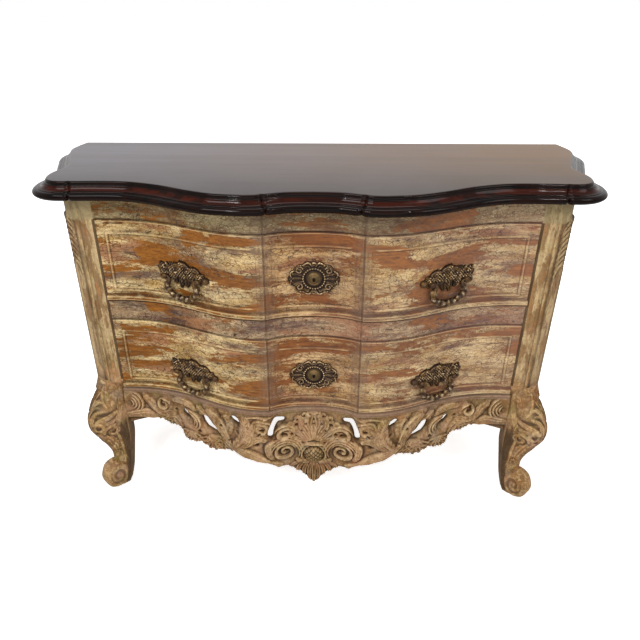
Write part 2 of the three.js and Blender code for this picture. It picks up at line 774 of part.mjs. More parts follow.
const dustTop = upperBase - dustThickness;
addPiece('dust_board', planBoard(runnerInnerX - fitGap, railThickness + fitGap, backRailY - fitGap,
  dustTop - dustThickness, dustTop), plainWood);
const bottomTop = lowerBase - runnerThickness;
addPiece('bottom_board', planBoard(postInnerX - fitGap, lowerRailDepth + fitGap, backRailY - fitGap,
  bottomTop - dustThickness, bottomTop), plainWood);

// Drawer front, with three moulded fields and a rounded lip along its foot
const frontEnd = postInnerX - revealGap;
const fieldEdges = [
  [-(beakOffset - fieldBorderBeak), beakOffset - fieldBorderBeak],
  [beakOffset + fieldBorderBeak, frontEnd - fieldBorderEnd],
  [-(frontEnd - fieldBorderEnd), -(beakOffset + fieldBorderBeak)],
];
const beadSteps = [0, beadCrest, beadWidth];

function drawerRelief(x, z, z0, z1) {
  const above = z - z0;
  if (above <= lipHeight) {
    const at = lipRowShares.findIndex((share) => share * lipHeight >= above - fitGap / 2);
    return lipRise * lipRiseShares[at] - grooveAt(x);
  }
  const insides = fieldEdges.map(([left, right]) => Math.min(
    x - left, right - x, z - z0 - fieldBorderBottom, z1 - fieldBorderTop - z));
  const inside = Math.max(...insides);
  if (inside <= 0) return -grooveAt(x);
  if (inside < beadCrest) return (beadRise * inside) / beadCrest;
  const fall = Math.min(1, (inside - beadCrest) / (beadWidth - beadCrest));
  return beadRise + (fieldRise - beadRise) * fall;
}

function drawerFront(z0, z1) {
  const height = z1 - z0;
  const fieldColumns = fieldEdges.flatMap(([left, right]) => beadSteps.flatMap(
    (step) => [left + step, right - step]));
  const levels = [
    ...lipRowShares.map((share) => share * lipHeight),
    ...beadSteps.map((step) => fieldBorderBottom + step),
    ...beadSteps.map((step) => height - fieldBorderTop - step).reverse(),
    height,
  ];
  return bentBoard({
    columns: stations(-frontEnd, frontEnd, [...fieldColumns, ...grooveColumns]),
    rows: levels.map((level) => level / height),
    low: () => z0,
    high: () => z1,
    out: (x, z) => drawerRelief(x, z, z0, z1),
    back: () => frontThickness,
    place: onFace,
  });
}

// Pulls: where each one stands on its flank, square to the face there
const pullFlankShare = 0.48;
const pullScrewHalfSpan = 50;
const pullScrewRadius = 2.5;
const pullScrewSides = 8;
const pullScrewBite = 8;
const pullHeadRadius = 6;
const pullHeadHeight = 3;
const plateHalfWidth = 75;
const plateThickness = 4;
const plateCrown = 4;
const plateRiseShare = 0.62;
const plateHeight = 88;
const plateRowShares = [0, 0.35, 0.65, 1];
const plateShares = [
  [-1, 0.02], [-0.93, 0.2], [-0.98, 0.42], [-0.82, 0.52], [-0.7, 0.76], [-0.5, 0.7], [-0.36, 0.8],
  [-0.2, 0.68], [0, 0.6], [0.16, 0.66], [0.32, 0.82], [0.46, 1], [0.6, 0.94], [0.72, 0.72],
  [0.9, 0.62], [1, 0.4], [0.94, 0.2], [1, 0.04], [0.86, -0.12], [0.7, -0.14], [0.55, -0.32],
  [0.3, -0.28], [0.1, -0.42], [-0.1, -0.42], [-0.3, -0.28], [-0.55, -0.32], [-0.7, -0.14],
  [-0.86, -0.14],
];
const earRadius = 7;
const earReach = 23;
const earSides = 8;
const pinAxisOut = 16;
const pinRadius = 2.4;
const pivotRiseShare = 0.1;
const bailRadius = 5.4;
const bailDrop = 60;
const bailSides = 8;
const bailLineShares = [
  [1, 0], [0.735, 0], [0.652, -0.08], [0.64, -0.3], [0.62, -0.52], [0.53, -0.76], [0.32, -0.9],
  [0.16, -0.94], [0, -1],
];
const bailSizeShares = [0.44, 0.44, 0.62, 0.74, 0.86, 1, 0.92, 1.1, 1.24];

function pullFrame(side) {
  const x = beakOffset + pullFlankShare * flankRun;
  const step = grooveHalf;
  const slope = (faceY(x + step) - faceY(x - step)) / (2 * step);
  return { x: side * x, y: faceY(x) - fieldRise, turn: side * Math.atan(slope) };
}

// Depth behind the pull's own plane of the face line shifted by shift, at across
function depthAt({ x, y, turn }, across, shift) {
  const wayX = -Math.sin(turn);
  const wayY = Math.cos(turn);
  const startX = x + across * Math.cos(turn);
  const startY = y + across * Math.sin(turn);
  let depth = 0;
  for (let i = 0; i < faceLine.length; i += 1) {
    depth = (faceY(startX + depth * wayX) + shift - startY) / wayY;
  }
  return depth;
}

// A cast plate that follows the bent field behind it: a bent slab trimmed to an outline
function fittedPlate({ x, y, turn }, outline, thickness, crown) {
  const span = Math.max(...outline.map((p) => Math.abs(p.x)));
  const heights = outline.map((p) => p.y);
  const [low, high] = [Math.min(...heights), Math.max(...heights)];
  const from = x - span * Math.cos(turn) - thickness;
  const to = x + span * Math.cos(turn) + thickness;
  const seat = fieldRise + fitGap;
  const domed = (u, z) => crown * swell(Math.hypot((u - x) / span, z / (high - low)));
  const slab = bentBoard({
    columns: stations(from, to),
    rows: plateRowShares,
    low: () => low - thickness,
    high: () => high + thickness,
    out: (u, z) => seat + thickness + domed(u, z),
    back: () => -seat,
    place: onFace,
  });
  const shape = new THREE.Shape(outline);
  const prism = new THREE.ExtrudeGeometry(shape, { depth: plateHeight, bevelEnabled: false });
  prism.rotateX(Math.PI / 2).translate(0, plateHeight / 2, 0).rotateZ(turn).translate(x, y, 0);
  const world = common(slab, bareGeometry(prism));
  return world.translate(-x, -y, 0).rotateZ(-turn);
}

function pullPlate(frame, side) {
  const outline = plateShares.map(([across, rise]) => new THREE.Vector2(
    side * across * plateHalfWidth, rise * plateRiseShare * plateHeight));
  const plate = fittedPlate(frame, outline, plateThickness, plateCrown);
  const pivot = pivotRiseShare * plateHeight;
  const ears = [-1, 1].map((end) => {
    const seat = depthAt(frame, end * pullScrewHalfSpan, -fieldRise) - plateThickness / 2;
    return rod(earRadius, earReach + seat, earSides).rotateX(Math.PI / 2)
      .translate(end * pullScrewHalfSpan, seat, pivot);
  });
  const bores = [
    rod(pinRadius + fitGap, 2 * plateHalfWidth, pullScrewSides).rotateY(Math.PI / 2)
      .translate(-plateHalfWidth, -pinAxisOut, pivot),
    ...[-1, 1].map((end) => rod(pullScrewRadius + fitGap, pullScrewBite + plateHeight, pullScrewSides)
      .rotateX(Math.PI / 2).translate(end * pullScrewHalfSpan, plateHeight, pivot)),
  ];
  return cut(join(plate, ...ears), ...bores);
}

// The bail: one cast bar, bent down between the ears, with a pin at each end
function bail() {
  const halfLine = bailLineShares.map(([across, drop], i) => ({
    at: new THREE.Vector2(across * (pullScrewHalfSpan + earRadius), drop * bailDrop),
    radius: bailSizeShares[i] * bailRadius,
  }));
  const otherHalf = halfLine.slice(0, -1).reverse().map(({ at, radius }) => ({
    at: new THREE.Vector2(-at.x, at.y), radius }));
  const line = [...halfLine, ...otherHalf];
  return loft(line.map(({ at, radius }, i) => {
    const before = line[Math.max(0, i - 1)].at;
    const after = line[Math.min(line.length - 1, i + 1)].at;
    const along = after.clone().sub(before).normalize();
    return Array.from({ length: bailSides }, (_, k) => {
      const angle = (2 * Math.PI * (k + 1 / 2)) / bailSides;
      const side = radius * Math.cos(angle);
      return new THREE.Vector3(at.x - along.y * side, radius * Math.sin(angle), at.y + along.x * side);
    });
  }));
}

function pullScrewDepths(frame) {
  return [-1, 1].map((end) => fitGap + Math.max(...[-1, 0, 1].map((edge) => depthAt(frame,
    end * pullScrewHalfSpan + edge * pullHeadRadius, frontThickness))));
}

// Escutcheons: a scalloped, pierced oval with a domed disc and a keyhole
const escutcheonHalfWidth = 62;
const escutcheonHalfHeight = 44;
const escutcheonSides = 30;
const escutcheonScallops = 10;
const scallopShare = 0.06;
const escutcheonThickness = 3;
const escutcheonCrown = 3;
const discRadius = 15.5;
const discRise = 7;
const discProfileShares = [[0, 0], [1, 0], [1, 0.45], [0.8, 0.8], [0.45, 1], [0, 1]];
const discSides = 20;
const keyholeWidth = 4;
const keyholeRadius = 3.4;
const keyholeHeight = 9;
const keyBoreRadius = 7;
const slotOffsetShare = 0.62;
const slotSizeShares = [0.09, 0.2];

function keyholeTool(radius, width, height) {
  const long = overallDepth / 4;
  const round = rod(radius, long).rotateX(Math.PI / 2).translate(0, long / 2, 0);
  const slit = box(-width / 2, -long / 2, -height, width / 2, long / 2, 0);
  return join(round, bareGeometry(slit));
}

function escutcheon() {
  const outline = Array.from({ length: escutcheonSides }, (_, i) => {
    const angle = (2 * Math.PI * i) / escutcheonSides;
    const size = 1 + scallopShare * Math.cos(escutcheonScallops * angle);
    return new THREE.Vector2(Math.cos(angle) * escutcheonHalfWidth, Math.sin(angle) * escutcheonHalfHeight)
      .multiplyScalar(size);
  });
  const frame = { x: 0, y: centreFaceY - fieldRise, turn: 0 };
  const plate = fittedPlate(frame, outline, escutcheonThickness, escutcheonCrown);
  const long = overallDepth / 4;
  const slots = [-1, 1].map((side) => {
    const halfWide = slotSizeShares[0] * escutcheonHalfWidth;
    const halfHigh = slotSizeShares[1] * escutcheonHalfHeight;
    const shape = new THREE.Shape();
    shape.absellipse(0, 0, halfWide, halfHigh, 0, 2 * Math.PI, false, 0);
    const tool = new THREE.ExtrudeGeometry(shape, { depth: long, bevelEnabled: false, curveSegments: 3 });
    tool.rotateX(Math.PI / 2).translate(side * slotOffsetShare * escutcheonHalfWidth, long / 2, 0);
    return bareGeometry(tool);
  });
  const discProfile = discProfileShares.map(([r, h]) => [r * discRadius, h * discRise]);
  const disc = bareGeometry(turned(discProfile, discSides)).rotateX(Math.PI / 2)
    .translate(0, -escutcheonThickness, 0);
  return cut(join(plate, disc), ...slots, keyholeTool(keyholeRadius, keyholeWidth, keyholeHeight));
}

// Locks: an iron case on the back of the front, with a bolt that rises into the rail
const lockHalfWidth = 32;
const lockDepth = 12;
const lockKeyMargin = 16;
const escutcheonGeometry = escutcheon();

function lockCase(keyZ, top) {
  const frontY = centreFaceY + frontThickness + fitGap;
  const base = keyZ - lockKeyMargin;
  const shell = bareGeometry(box(-lockHalfWidth, frontY, base, lockHalfWidth, frontY + lockDepth, top));
  const side = boltWidth / 2 + fitGap;
  const channel = box(-side, boltFrontY - fitGap, top - boltLength - boltSlack, side,
    boltFrontY + boltThickness + fitGap, top + boltSlack);
  return cut(shell, bareGeometry(channel));
}

// One drawer, from its front to the hardware on it
function buildDrawer({ level, base, top, keyRiseShare, pullRiseShare }) {
  const z0 = base + revealGap;
  const z1 = top - revealGap;
  const keyZ = z0 + keyRiseShare * (z1 - z0);
  const pullZ = z0 + pullRiseShare * (z1 - z0);
  const pivot = pivotRiseShare * plateHeight;
  const frames = [-1, 1].map((side) => ({ side, frame: pullFrame(side) }));
  const far = frontThickness * 2;

  const boreHoles = frames.flatMap(({ frame }) => [-1, 1].map((end) => rod(pullScrewRadius + fitGap, 2 * far,
    pullScrewSides).rotateX(Math.PI / 2).translate(end * pullScrewHalfSpan, far, pullZ + pivot)
    .rotateZ(frame.turn).translate(frame.x, frame.y, 0)));
  const keyBore = rod(keyBoreRadius, 2 * far).rotateX(Math.PI / 2)
    .translate(0, centreFaceY + far, keyZ - keyholeHeight / 2);
  addPiece(`${level}_drawer_front`, cut(drawerFront(z0, z1), ...boreHoles, keyBore), paintedWood);

  const sideFrontY = behindFace(drawerOuterX - drawerSideThickness, drawerOuterX, frontThickness) + fitGap;
  const floor = base + fitGap;
  const innerX = drawerOuterX - drawerSideThickness;
  const side = box(innerX, sideFrontY, floor, drawerOuterX, drawerBackY, floor + drawerSideHeight);
  addPiece(`${level}_drawer_side_right`, side, plainWood);
  addPiece(`${level}_drawer_side_left`, mirrored(bareGeometry(side)), plainWood);
  const bottomZ = floor + drawerBottomRise;
  addPiece(`${level}_drawer_bottom`, planBoard(innerX - fitGap, frontThickness + fitGap, drawerBackY, bottomZ,
    bottomZ + drawerBottomThickness), plainWood);
  const backZ = bottomZ + drawerBottomThickness + fitGap;
  addPiece(`${level}_drawer_back`, box(fitGap - innerX, drawerBackY - drawerBackThickness, backZ,
    innerX - fitGap, drawerBackY, floor + drawerSideHeight), plainWood);

  addPiece(`${level}_escutcheon`, escutcheonGeometry, bronze).position.set(0, centreFaceY - fieldRise, keyZ);
  addPiece(`${level}_lock_case`, lockCase(keyZ, z1), steel);
  addPiece(`${level}_lock_bolt`, box(-boltWidth / 2, boltFrontY, z1 - boltLength, boltWidth / 2,
    boltFrontY + boltThickness, z1), steel);

  for (const { side: sign, frame } of frames) {
    const hand = sign > 0 ? 'right' : 'left';
    const pull = new THREE.Group();
    pull.position.set(frame.x, frame.y, pullZ);
    pull.rotation.z = frame.turn;
    commode.add(pull);
    addPiece(`${level}_pull_plate_${hand}`, pullPlate(frame, sign), bronze, pull);
    addPiece(`${level}_bail_${hand}`, bail(), bronze, pull).position.set(0, -pinAxisOut, pivot);
    pullScrewDepths(frame).forEach((depth, i) => {
      const end = i === 0 ? -1 : 1;
      const place = end === sign ? 'outer' : 'inner';
      const length = pullHeadHeight + depth + pullScrewBite;
      const screw = bareGeometry(turned([
        [0, 0], [pullHeadRadius, 0], [pullHeadRadius, pullHeadHeight], [pullScrewRadius, pullHeadHeight],
        [pullScrewRadius, length], [0, length],
      ], pullScrewSides)).rotateX(Math.PI / 2);
      addPiece(`${level}_pull_screw_${hand}_${place}`, screw, steel, pull)
        .position.set(end * pullScrewHalfSpan, depth + pullHeadHeight, pivot);
    });
  }
}

buildDrawer({ level: 'upper', base: upperBase, top: upperTop, keyRiseShare: 0.471, pullRiseShare: 0.365 });
buildDrawer({ level: 'lower', base: lowerBase, top: lowerTop, keyRiseShare: 0.468, pullRiseShare: 0.326 });

export default commode;
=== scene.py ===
import math

import bpy
import numpy as np
from mathutils import Matrix


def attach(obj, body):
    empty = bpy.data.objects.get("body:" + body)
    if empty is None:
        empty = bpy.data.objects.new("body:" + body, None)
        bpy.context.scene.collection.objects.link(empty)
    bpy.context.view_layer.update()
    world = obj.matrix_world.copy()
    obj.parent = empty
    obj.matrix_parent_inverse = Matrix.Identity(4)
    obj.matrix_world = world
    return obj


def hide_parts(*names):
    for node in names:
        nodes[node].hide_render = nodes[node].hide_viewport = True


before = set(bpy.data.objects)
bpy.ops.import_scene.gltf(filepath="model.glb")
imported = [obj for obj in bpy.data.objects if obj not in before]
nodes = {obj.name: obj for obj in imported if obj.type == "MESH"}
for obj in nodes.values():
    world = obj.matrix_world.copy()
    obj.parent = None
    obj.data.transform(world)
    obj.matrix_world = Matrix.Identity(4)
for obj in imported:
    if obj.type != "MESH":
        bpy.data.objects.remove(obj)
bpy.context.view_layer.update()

mm = 0.001
pi = math.pi

# Sizes that the pieces share with the solids, in millimetres
caseSizes = {
    "top": 906, "upperTop": 844, "upperBase": 614, "lowerTop": 557, "lowerBase": 330,
    "postInner": 559, "beak": 121, "beakY": -214, "centreY": -187, "endY": -113,
    "railDepth": 48, "reveal": 1.6, "gap": 0.3, "frontThickness": 28, "fieldRise": 1, "seam": 1.5,
}
beak = caseSizes["beak"]


# Curves and tables

def catmull(points, count):
    # A smooth line through the points, with its ends repeated
    p = np.asarray(points, float)
    p = np.vstack([p[:1], p, p[-1:]])
    t = np.linspace(0, len(p) - 3 - 1e-9, count)
    i = t.astype(int)
    f = (t - i)[:, None]
    a, b, c, d = p[i], p[i + 1], p[i + 2], p[i + 3]
    return 0.5 * (2 * b + (c - a) * f + (2 * a - 5 * b + 4 * c - d) * f**2 + (3 * b - a - 3 * c + d) * f**3)


def bezier(points, count):
    t = np.linspace(0, 1, count)[:, None]
    p = [np.array(point, float)[None, :] for point in points]
    if len(p) == 3:
        return (1 - t)**2 * p[0] + 2 * t * (1 - t) * p[1] + t**2 * p[2]
    return (1 - t)**3 * p[0] + 3 * t * (1 - t)**2 * p[1] + 3 * t**2 * (1 - t) * p[2] + t**3 * p[3]


def smoothTable(x, keys, values):
    # Hermite interpolation through a table whose keys may be unevenly spaced
    keys = np.asarray(keys, float)
    values = np.asarray(values, float)
    order = np.argsort(keys)
    keys, values = keys[order], values[order]
    slopes = np.gradient(values, keys)
    x = np.clip(x, keys[0], keys[-1])
    i = np.clip(np.searchsorted(keys, x) - 1, 0, len(keys) - 2)
    span = keys[i + 1] - keys[i]
    t = (x - keys[i]) / span
    return ((2 * t**3 - 3 * t**2 + 1) * values[i] + (t**3 - 2 * t**2 + t) * span * slopes[i]
            + (3 * t**2 - 2 * t**3) * values[i + 1] + (t**3 - t**2) * span * slopes[i + 1])


def marked(low, high, step, marks=(), reach=7, fine=1.0):
    # Evenly spaced lines, with closer ones around each mark
    lines = [np.linspace(low, high, int((high - low) / step) + 2)]
    for mark in marks:
        lines.append(np.arange(mark - reach, mark + reach, fine))
    joined = np.unique(np.round(np.concatenate(lines), 3))
    joined = joined[(joined >= low) & (joined <= high)]
    keep = np.concatenate([[True], np.diff(joined) > 0.35 * fine])
    keep[-1] = True
    return joined[keep]


def smoothStep(x, low, high):
    t = np.clip((x - low) / (high - low), 0, 1)
    return t * t * (3 - 2 * t)


def window(x, rise, fall):
    # 0 up to the rise, 1 after it, and 0 again past the fall
    return smoothStep(x, *rise) * (1 - smoothStep(x, *fall))


def ridgeAt(x, middle, reach):
    # 1 at the middle, fading to 0 over about twice the reach
    return np.exp(-((x - middle) / reach)**2)


def blurred(field, size):
    kernel = np.ones(size) / size
    padded = np.pad(field, size, mode="edge")
    for axis in (0, 1):
        padded = np.apply_along_axis(lambda row: np.convolve(row, kernel, mode="same"), axis, padded)
    return padded[size:-size, size:-size]


def hollows(height, size, depth):
    # From -1 in a recess to 1 on a ridge
    return np.clip((height - blurred(blurred(height, size), size)) / depth, -1, 1)


# The serpentine that rails, drawer fronts and apron follow
beakY, centreY = caseSizes["beakY"], caseSizes["centreY"]
flankRun = caseSizes["postInner"] - beak
sweep = caseSizes["endY"] - beakY
faceLine = np.vstack([
    bezier([(0, centreY), (0.66 * beak, centreY), (beak, beakY)], 60)[:-1],
    bezier([(beak, beakY), (beak + 0.41 * flankRun, beakY - 0.02 * sweep),
            (beak + 0.476 * flankRun, beakY + 1.13 * sweep), (beak + flankRun, beakY + sweep)], 240),
])


def faceY(x):
    return np.interp(np.abs(x), faceLine[:, 0], faceLine[:, 1])


def onFace(x, out, z):
    return np.stack([x, faceY(x) - out, z], axis=-1)


def evenLine(line, count):
    # The same line with its points at even distances, and how far along it each one was
    run = np.concatenate([[0], np.cumsum(np.hypot(*np.diff(line, axis=0).T))])
    even = np.linspace(0, run[-1], count)
    return np.stack([np.interp(even, run, line[:, i]) for i in (0, 1)], axis=1), even


def across(line):
    # Unit steps square to a line
    along = np.gradient(line, axis=0)
    side = np.stack([-along[:, 1], along[:, 0]], axis=1)
    return side / np.maximum(np.linalg.norm(side, axis=1), 1e-6)[:, None]


# Meshes

def makeMesh(name, points, quads, polygons=(), cavity=None, sharp=42, normals=None):
    # points in millimetres; quads as rows of four; polygons as further lists of corners;
    # cavity from -1 in a hollow to 1 on a ridge, which the finishes read
    mesh = bpy.data.meshes.new(name)
    points = np.asarray(points, float).reshape(-1, 3) * mm
    quads = np.asarray(quads, int).reshape(-1, 4)
    corners = [quads.ravel()] + [np.asarray(polygon, int) for polygon in polygons]
    sizes = [4] * len(quads) + [len(polygon) for polygon in polygons]
    starts = np.concatenate([[0], np.cumsum(sizes)[:-1]])
    loops = np.concatenate(corners)
    mesh.vertices.add(len(points))
    mesh.vertices.foreach_set("co", points.ravel())
    mesh.loops.add(len(loops))
    mesh.loops.foreach_set("vertex_index", loops)
    mesh.polygons.add(len(sizes))
    mesh.polygons.foreach_set("loop_start", starts)
    if cavity is not None:
        layer = mesh.attributes.new("cavity", "FLOAT", "POINT")
        layer.data.foreach_set("value", np.asarray(cavity, float).ravel())
    mesh.update(calc_edges=True)
    mesh.validate()
    mesh.polygons.foreach_set("use_smooth", [True] * len(mesh.polygons))
    if normals is not None:
        mesh.normals_split_custom_set_from_vertices(normals)
    else:
        mesh.set_sharp_from_angle(angle=math.radians(sharp))
    return mesh


def gridQuads(rows, columns, closed=False):
    # Quads over points stored row after row
    r = np.arange(rows - 1)[:, None]
    c = np.arange(columns if closed else columns - 1)[None, :]
    a = r * columns + c
    b = r * columns + (c + 1) % columns
    return np.stack([a, b, b + columns, a + columns], axis=-1).reshape(-1, 4)


def turnedOut(mesh):
    # Faces that point inwards are turned round
    volume = sum(face.area * face.center.dot(face.normal) for face in mesh.polygons)
    if volume < 0:
        mesh.flip_normals()
    return mesh


def tubeMesh(name, rings, cavity=None, sharp=42):
    # Rings of points, one after another, with a flat end at the first and the last
    rings = np.asarray(rings, float)
    rows, around = rings.shape[:2]
    last = (rows - 1) * around
    ends = [list(range(around))[::-1], list(range(last, last + around))]
    shade = np.zeros((rows, around)) if cavity is None else cavity
    return turnedOut(makeMesh(name, rings, gridQuads(rows, around, closed=True), ends, shade, sharp))


def finishPiece(name, mesh, material, carrier, replaced=()):
    piece = bpy.data.objects.new(name, mesh)
    bpy.context.scene.collection.objects.link(piece)
    mesh.materials.clear()
    mesh.materials.append(material)
    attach(piece, carrier)
    if replaced:
        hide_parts(*replaced)
    return piece


def mirroredMesh(mesh, name):
    copy = mesh.copy()
    copy.name = name
    copy.transform(Matrix.Scale(-1, 4, (1, 0, 0)))
    copy.flip_normals()
    return copy


def boardMesh(name, u, v, out, back, hollowSize, hollowDepth):
    # A board bent to the serpentine: u runs across, v upwards, out(u, v) is its relief, back(u) its depth
    wide, up = np.meshgrid(u, v, indexing="ij")
    relief = out(wide, up)
    front = onFace(wide, relief, up)
    rear = np.stack([onFace(u, -back(u), np.full_like(u, level)) for level in (v[0], v[-1])], axis=1)
    count, rows = wide.shape
    first = count * rows
    i = np.arange(count - 1)
    b = first + 2 * i
    f = i * rows
    quads = [gridQuads(count, rows)[:, [0, 3, 2, 1]], np.stack([b, b + 1, b + 3, b + 2], axis=1),
             np.stack([f, b, b + 2, f + rows], axis=1),
             np.stack([f + rows - 1, f + 2 * rows - 1, b + 3, b + 1], axis=1)]
    last = (count - 1) * rows
    ends = [list(range(rows)) + [first + 1, first],
            [first + 2 * count - 2, first + 2 * count - 1] + list(range(last + rows - 1, last - 1, -1))]
    points = np.concatenate([front.reshape(-1, 3), rear.reshape(-1, 3)])
    # Painted shadow darkens the seam along the upper and the lower edge, and beside it the paint is worn
    # pale, with a painted highlight
    fromEdge = np.minimum(up - v[0], v[-1] - up) / caseSizes["seam"]
    worked = hollows(relief, hollowSize, hollowDepth)
    seam = np.minimum(worked, -1.2 * np.clip(2 - fromEdge, 0, 1))
    worn = worked + 0.7 * np.exp(-(fromEdge - 2.9)**2 * 2)
    worked = np.append(np.where(fromEdge < 2, seam, worn), np.zeros(2 * count))
    return makeMesh(name, points, np.concatenate(quads), ends, worked)


def joinedMesh(name, meshes):
    # Several meshes as one, with their attributes kept
    points, loops, sizes, cavity = [], [], [], []
    start = 0
    for mesh in meshes:
        co = np.empty(len(mesh.vertices) * 3)
        mesh.vertices.foreach_get("co", co)
        corner = np.empty(len(mesh.loops), int)
        mesh.loops.foreach_get("vertex_index", corner)
        total = np.empty(len(mesh.polygons), int)
        mesh.polygons.foreach_get("loop_total", total)
        value = np.empty(len(mesh.vertices))
        mesh.attributes["cavity"].data.foreach_get("value", value)
        points.append(co.reshape(-1, 3) / mm)
        loops.append(corner + start)
        sizes.append(total)
        cavity.append(value)
        start += len(mesh.vertices)
    loops, sizes = np.concatenate(loops), np.concatenate(sizes)
    polygons = np.split(loops, np.cumsum(sizes)[:-1])
    for mesh in meshes:
        bpy.data.meshes.remove(mesh)
    return makeMesh(name, np.concatenate(points), np.empty((0, 4)), polygons, np.concatenate(cavity))


# Carving: ribs, leaves and curls are raised one by one over a surface

def rib(points, width, height, ends=(0.3, 0.1), count=26, level=0.0, shape="round"):
    # ends are how thick it is at its first and last point; shape is round, leaf, hollow or double
    return {"line": catmull(points, count), "width": width, "height": height, "shape": shape, "ends": ends,
            "level": level}


def leaf(points, width, height, ends, count=26, level=0.0):
    return rib(points, width, height, ends, count, level, "leaf")


def curl(centre, first, last, start, turns, width, height, ends, shape="round", count=44):
    # A rib along a spiral, from the first radius to the last
    t = np.linspace(0, 1, count)
    radius = first + (last - first) * t
    angle = start + 2 * pi * turns * t
    line = np.stack([centre[0] + radius * np.cos(angle), centre[1] + radius * np.sin(angle)], axis=1)
    return {"line": line, "width": width, "height": height, "shape": shape, "ends": ends, "level": 0.0}


def spray(points, width, height, lobes, lean, reach, plump=0.34):
    # An acanthus spray: a midrib with lobes that leave it and bend forward
    axis = catmull(points, 60)
    ribs = []
    for i in range(lobes):
        t = (i + 0.35) / lobes
        k = int(t * 55)
        way = axis[min(k + 4, 59)] - axis[k]
        way /= max(np.linalg.norm(way), 1e-6)
        size = reach * (0.55 + 0.55 * math.sin(pi * (0.15 + 0.75 * t)))
        for side in (-1, 1):
            line = [axis[k]]
            for angle in (lean * side, lean * 0.35 * side):
                c, s = math.cos(angle), math.sin(angle)
                turned = np.array([way[0] * c - way[1] * s, way[0] * s + way[1] * c])
                line.append(line[-1] + turned * size * 0.55)
            ribs.append(leaf(line, size * plump, height * 0.85, (0.5, 0.3), 12))
    return ribs + [rib(points, width, height, (0.7, 0.1), 40, height * 0.15)]


def bundle(points, count, spread, width, height, ends=(0.2, 0.2), level=0.0):
    # Parallel ribs that follow one line and close up towards both ends
    axis = catmull(points, 40)
    side = across(axis)
    t = np.linspace(0, 1, len(axis))
    opening = (0.35 + 0.65 * np.sin(pi * np.clip(t, 0.02, 0.98)))[:, None]
    offsets = (np.arange(count) - (count - 1) / 2) * spread
    return [{"line": axis + side * offset * opening, "width": width, "height": height, "shape": "round",
             "ends": ends, "level": level} for offset in offsets]


def profileOf(shape, s):
    a = np.abs(s)
    if shape == "hollow":
        return np.where(a < 0.72, 0.3 + 0.7 * (a / 0.72)**2, np.sqrt(np.clip((1 - a) / 0.28, 0, 1)))
    if shape == "leaf":
        return (1 - a**2.2) * (1 - 0.5 * np.exp(-(s / 0.17)**2))
    if shape == "double":
        return np.sqrt(np.clip(1 - a**2, 0, 1)) * (0.62 + 0.38 * np.cos(3 * pi * (a - 0.5) - pi / 2)**2)
    return np.sqrt(np.clip(1 - a**2, 0, 1))


toolMarks = {"spacing": 4.4, "depth": 0.3, "least": 4.8}


def carve(u, v, strokes, base):
    # u, v: increasing lists of places; base: heights over u by v, raised where a stroke passes
    height = base.copy()
    for item in strokes:
        line, width = item["line"], item["width"]
        low, high = line.min(axis=0) - width, line.max(axis=0) + width
        i0, i1 = np.searchsorted(u, [low[0], high[0]])
        j0, j1 = np.searchsorted(v, [low[1], high[1]])
        if i1 <= i0 or j1 <= j0:
            continue
        uu, vv = np.meshgrid(u[i0:i1], v[j0:j1], indexing="ij")
        p = np.stack([uu.ravel(), vv.ravel()], axis=1)
        best = np.full(len(p), 1e9)
        where = np.zeros(len(p))
        sideOf = np.zeros(len(p))
        steps = len(line) - 1
        for k in range(steps):
            d = line[k + 1] - line[k]
            q = p - line[k]
            t = np.clip((q @ d) / max(d @ d, 1e-9), 0, 1)
            off = q - t[:, None] * d
            distance = np.hypot(off[:, 0], off[:, 1])
            closer = distance < best
            best[closer] = distance[closer]
            where[closer] = ((k + t) / steps)[closer]
            sideOf[closer] = (d[0] * off[:, 1] - d[1] * off[:, 0])[closer]
        begin, finish = item["ends"]
        taper = (np.minimum(1, begin + (1 - begin) * where / 0.28)
                 * np.minimum(1, finish + (1 - finish) * (1 - where) / 0.4))
        s = np.sign(sideOf) * best / (width * np.maximum(taper, 0.05))
        rise = item["height"] * (0.45 + 0.55 * taper) * profileOf(item["shape"], s)
        if width >= toolMarks["least"]:
            # Fine ribs that the tool left along the broader forms
            ribs = max(2, round(2 * width / toolMarks["spacing"]))
            rise = rise * (1 - toolMarks["depth"] * (0.5 + 0.5 * np.cos(pi * ribs * (s + 1))))
        rise = rise + item["level"]
        inside = np.abs(s) < 1
        patch = height[i0:i1, j0:j1]
        ground = base[i0:i1, j0:j1]
        raised = ground + np.where(inside, rise, 0).reshape(patch.shape)
        height[i0:i1, j0:j1] = np.where(inside.reshape(patch.shape), np.maximum(patch, raised), patch)
    return height


def pit(u, v, height, places):
    # Drilled eyes, as (u, v, radius, depth)
    uu, vv = np.meshgrid(u, v, indexing="ij")
    for x, y, radius, depth in places:
        height = height - depth * np.exp(-(((uu - x)**2 + (vv - y)**2) / radius**2)**1.5)
    return height


# Materials

def tint(red, green, blue):
    # A colour as seen, 0 to 255, as Blender's linear values
    def linear(value):
        value /= 255
        return value / 12.92 if value <= 0.04045 else ((value + 0.055) / 1.055)**2.4
    return (linear(red), linear(green), linear(blue), 1.0)


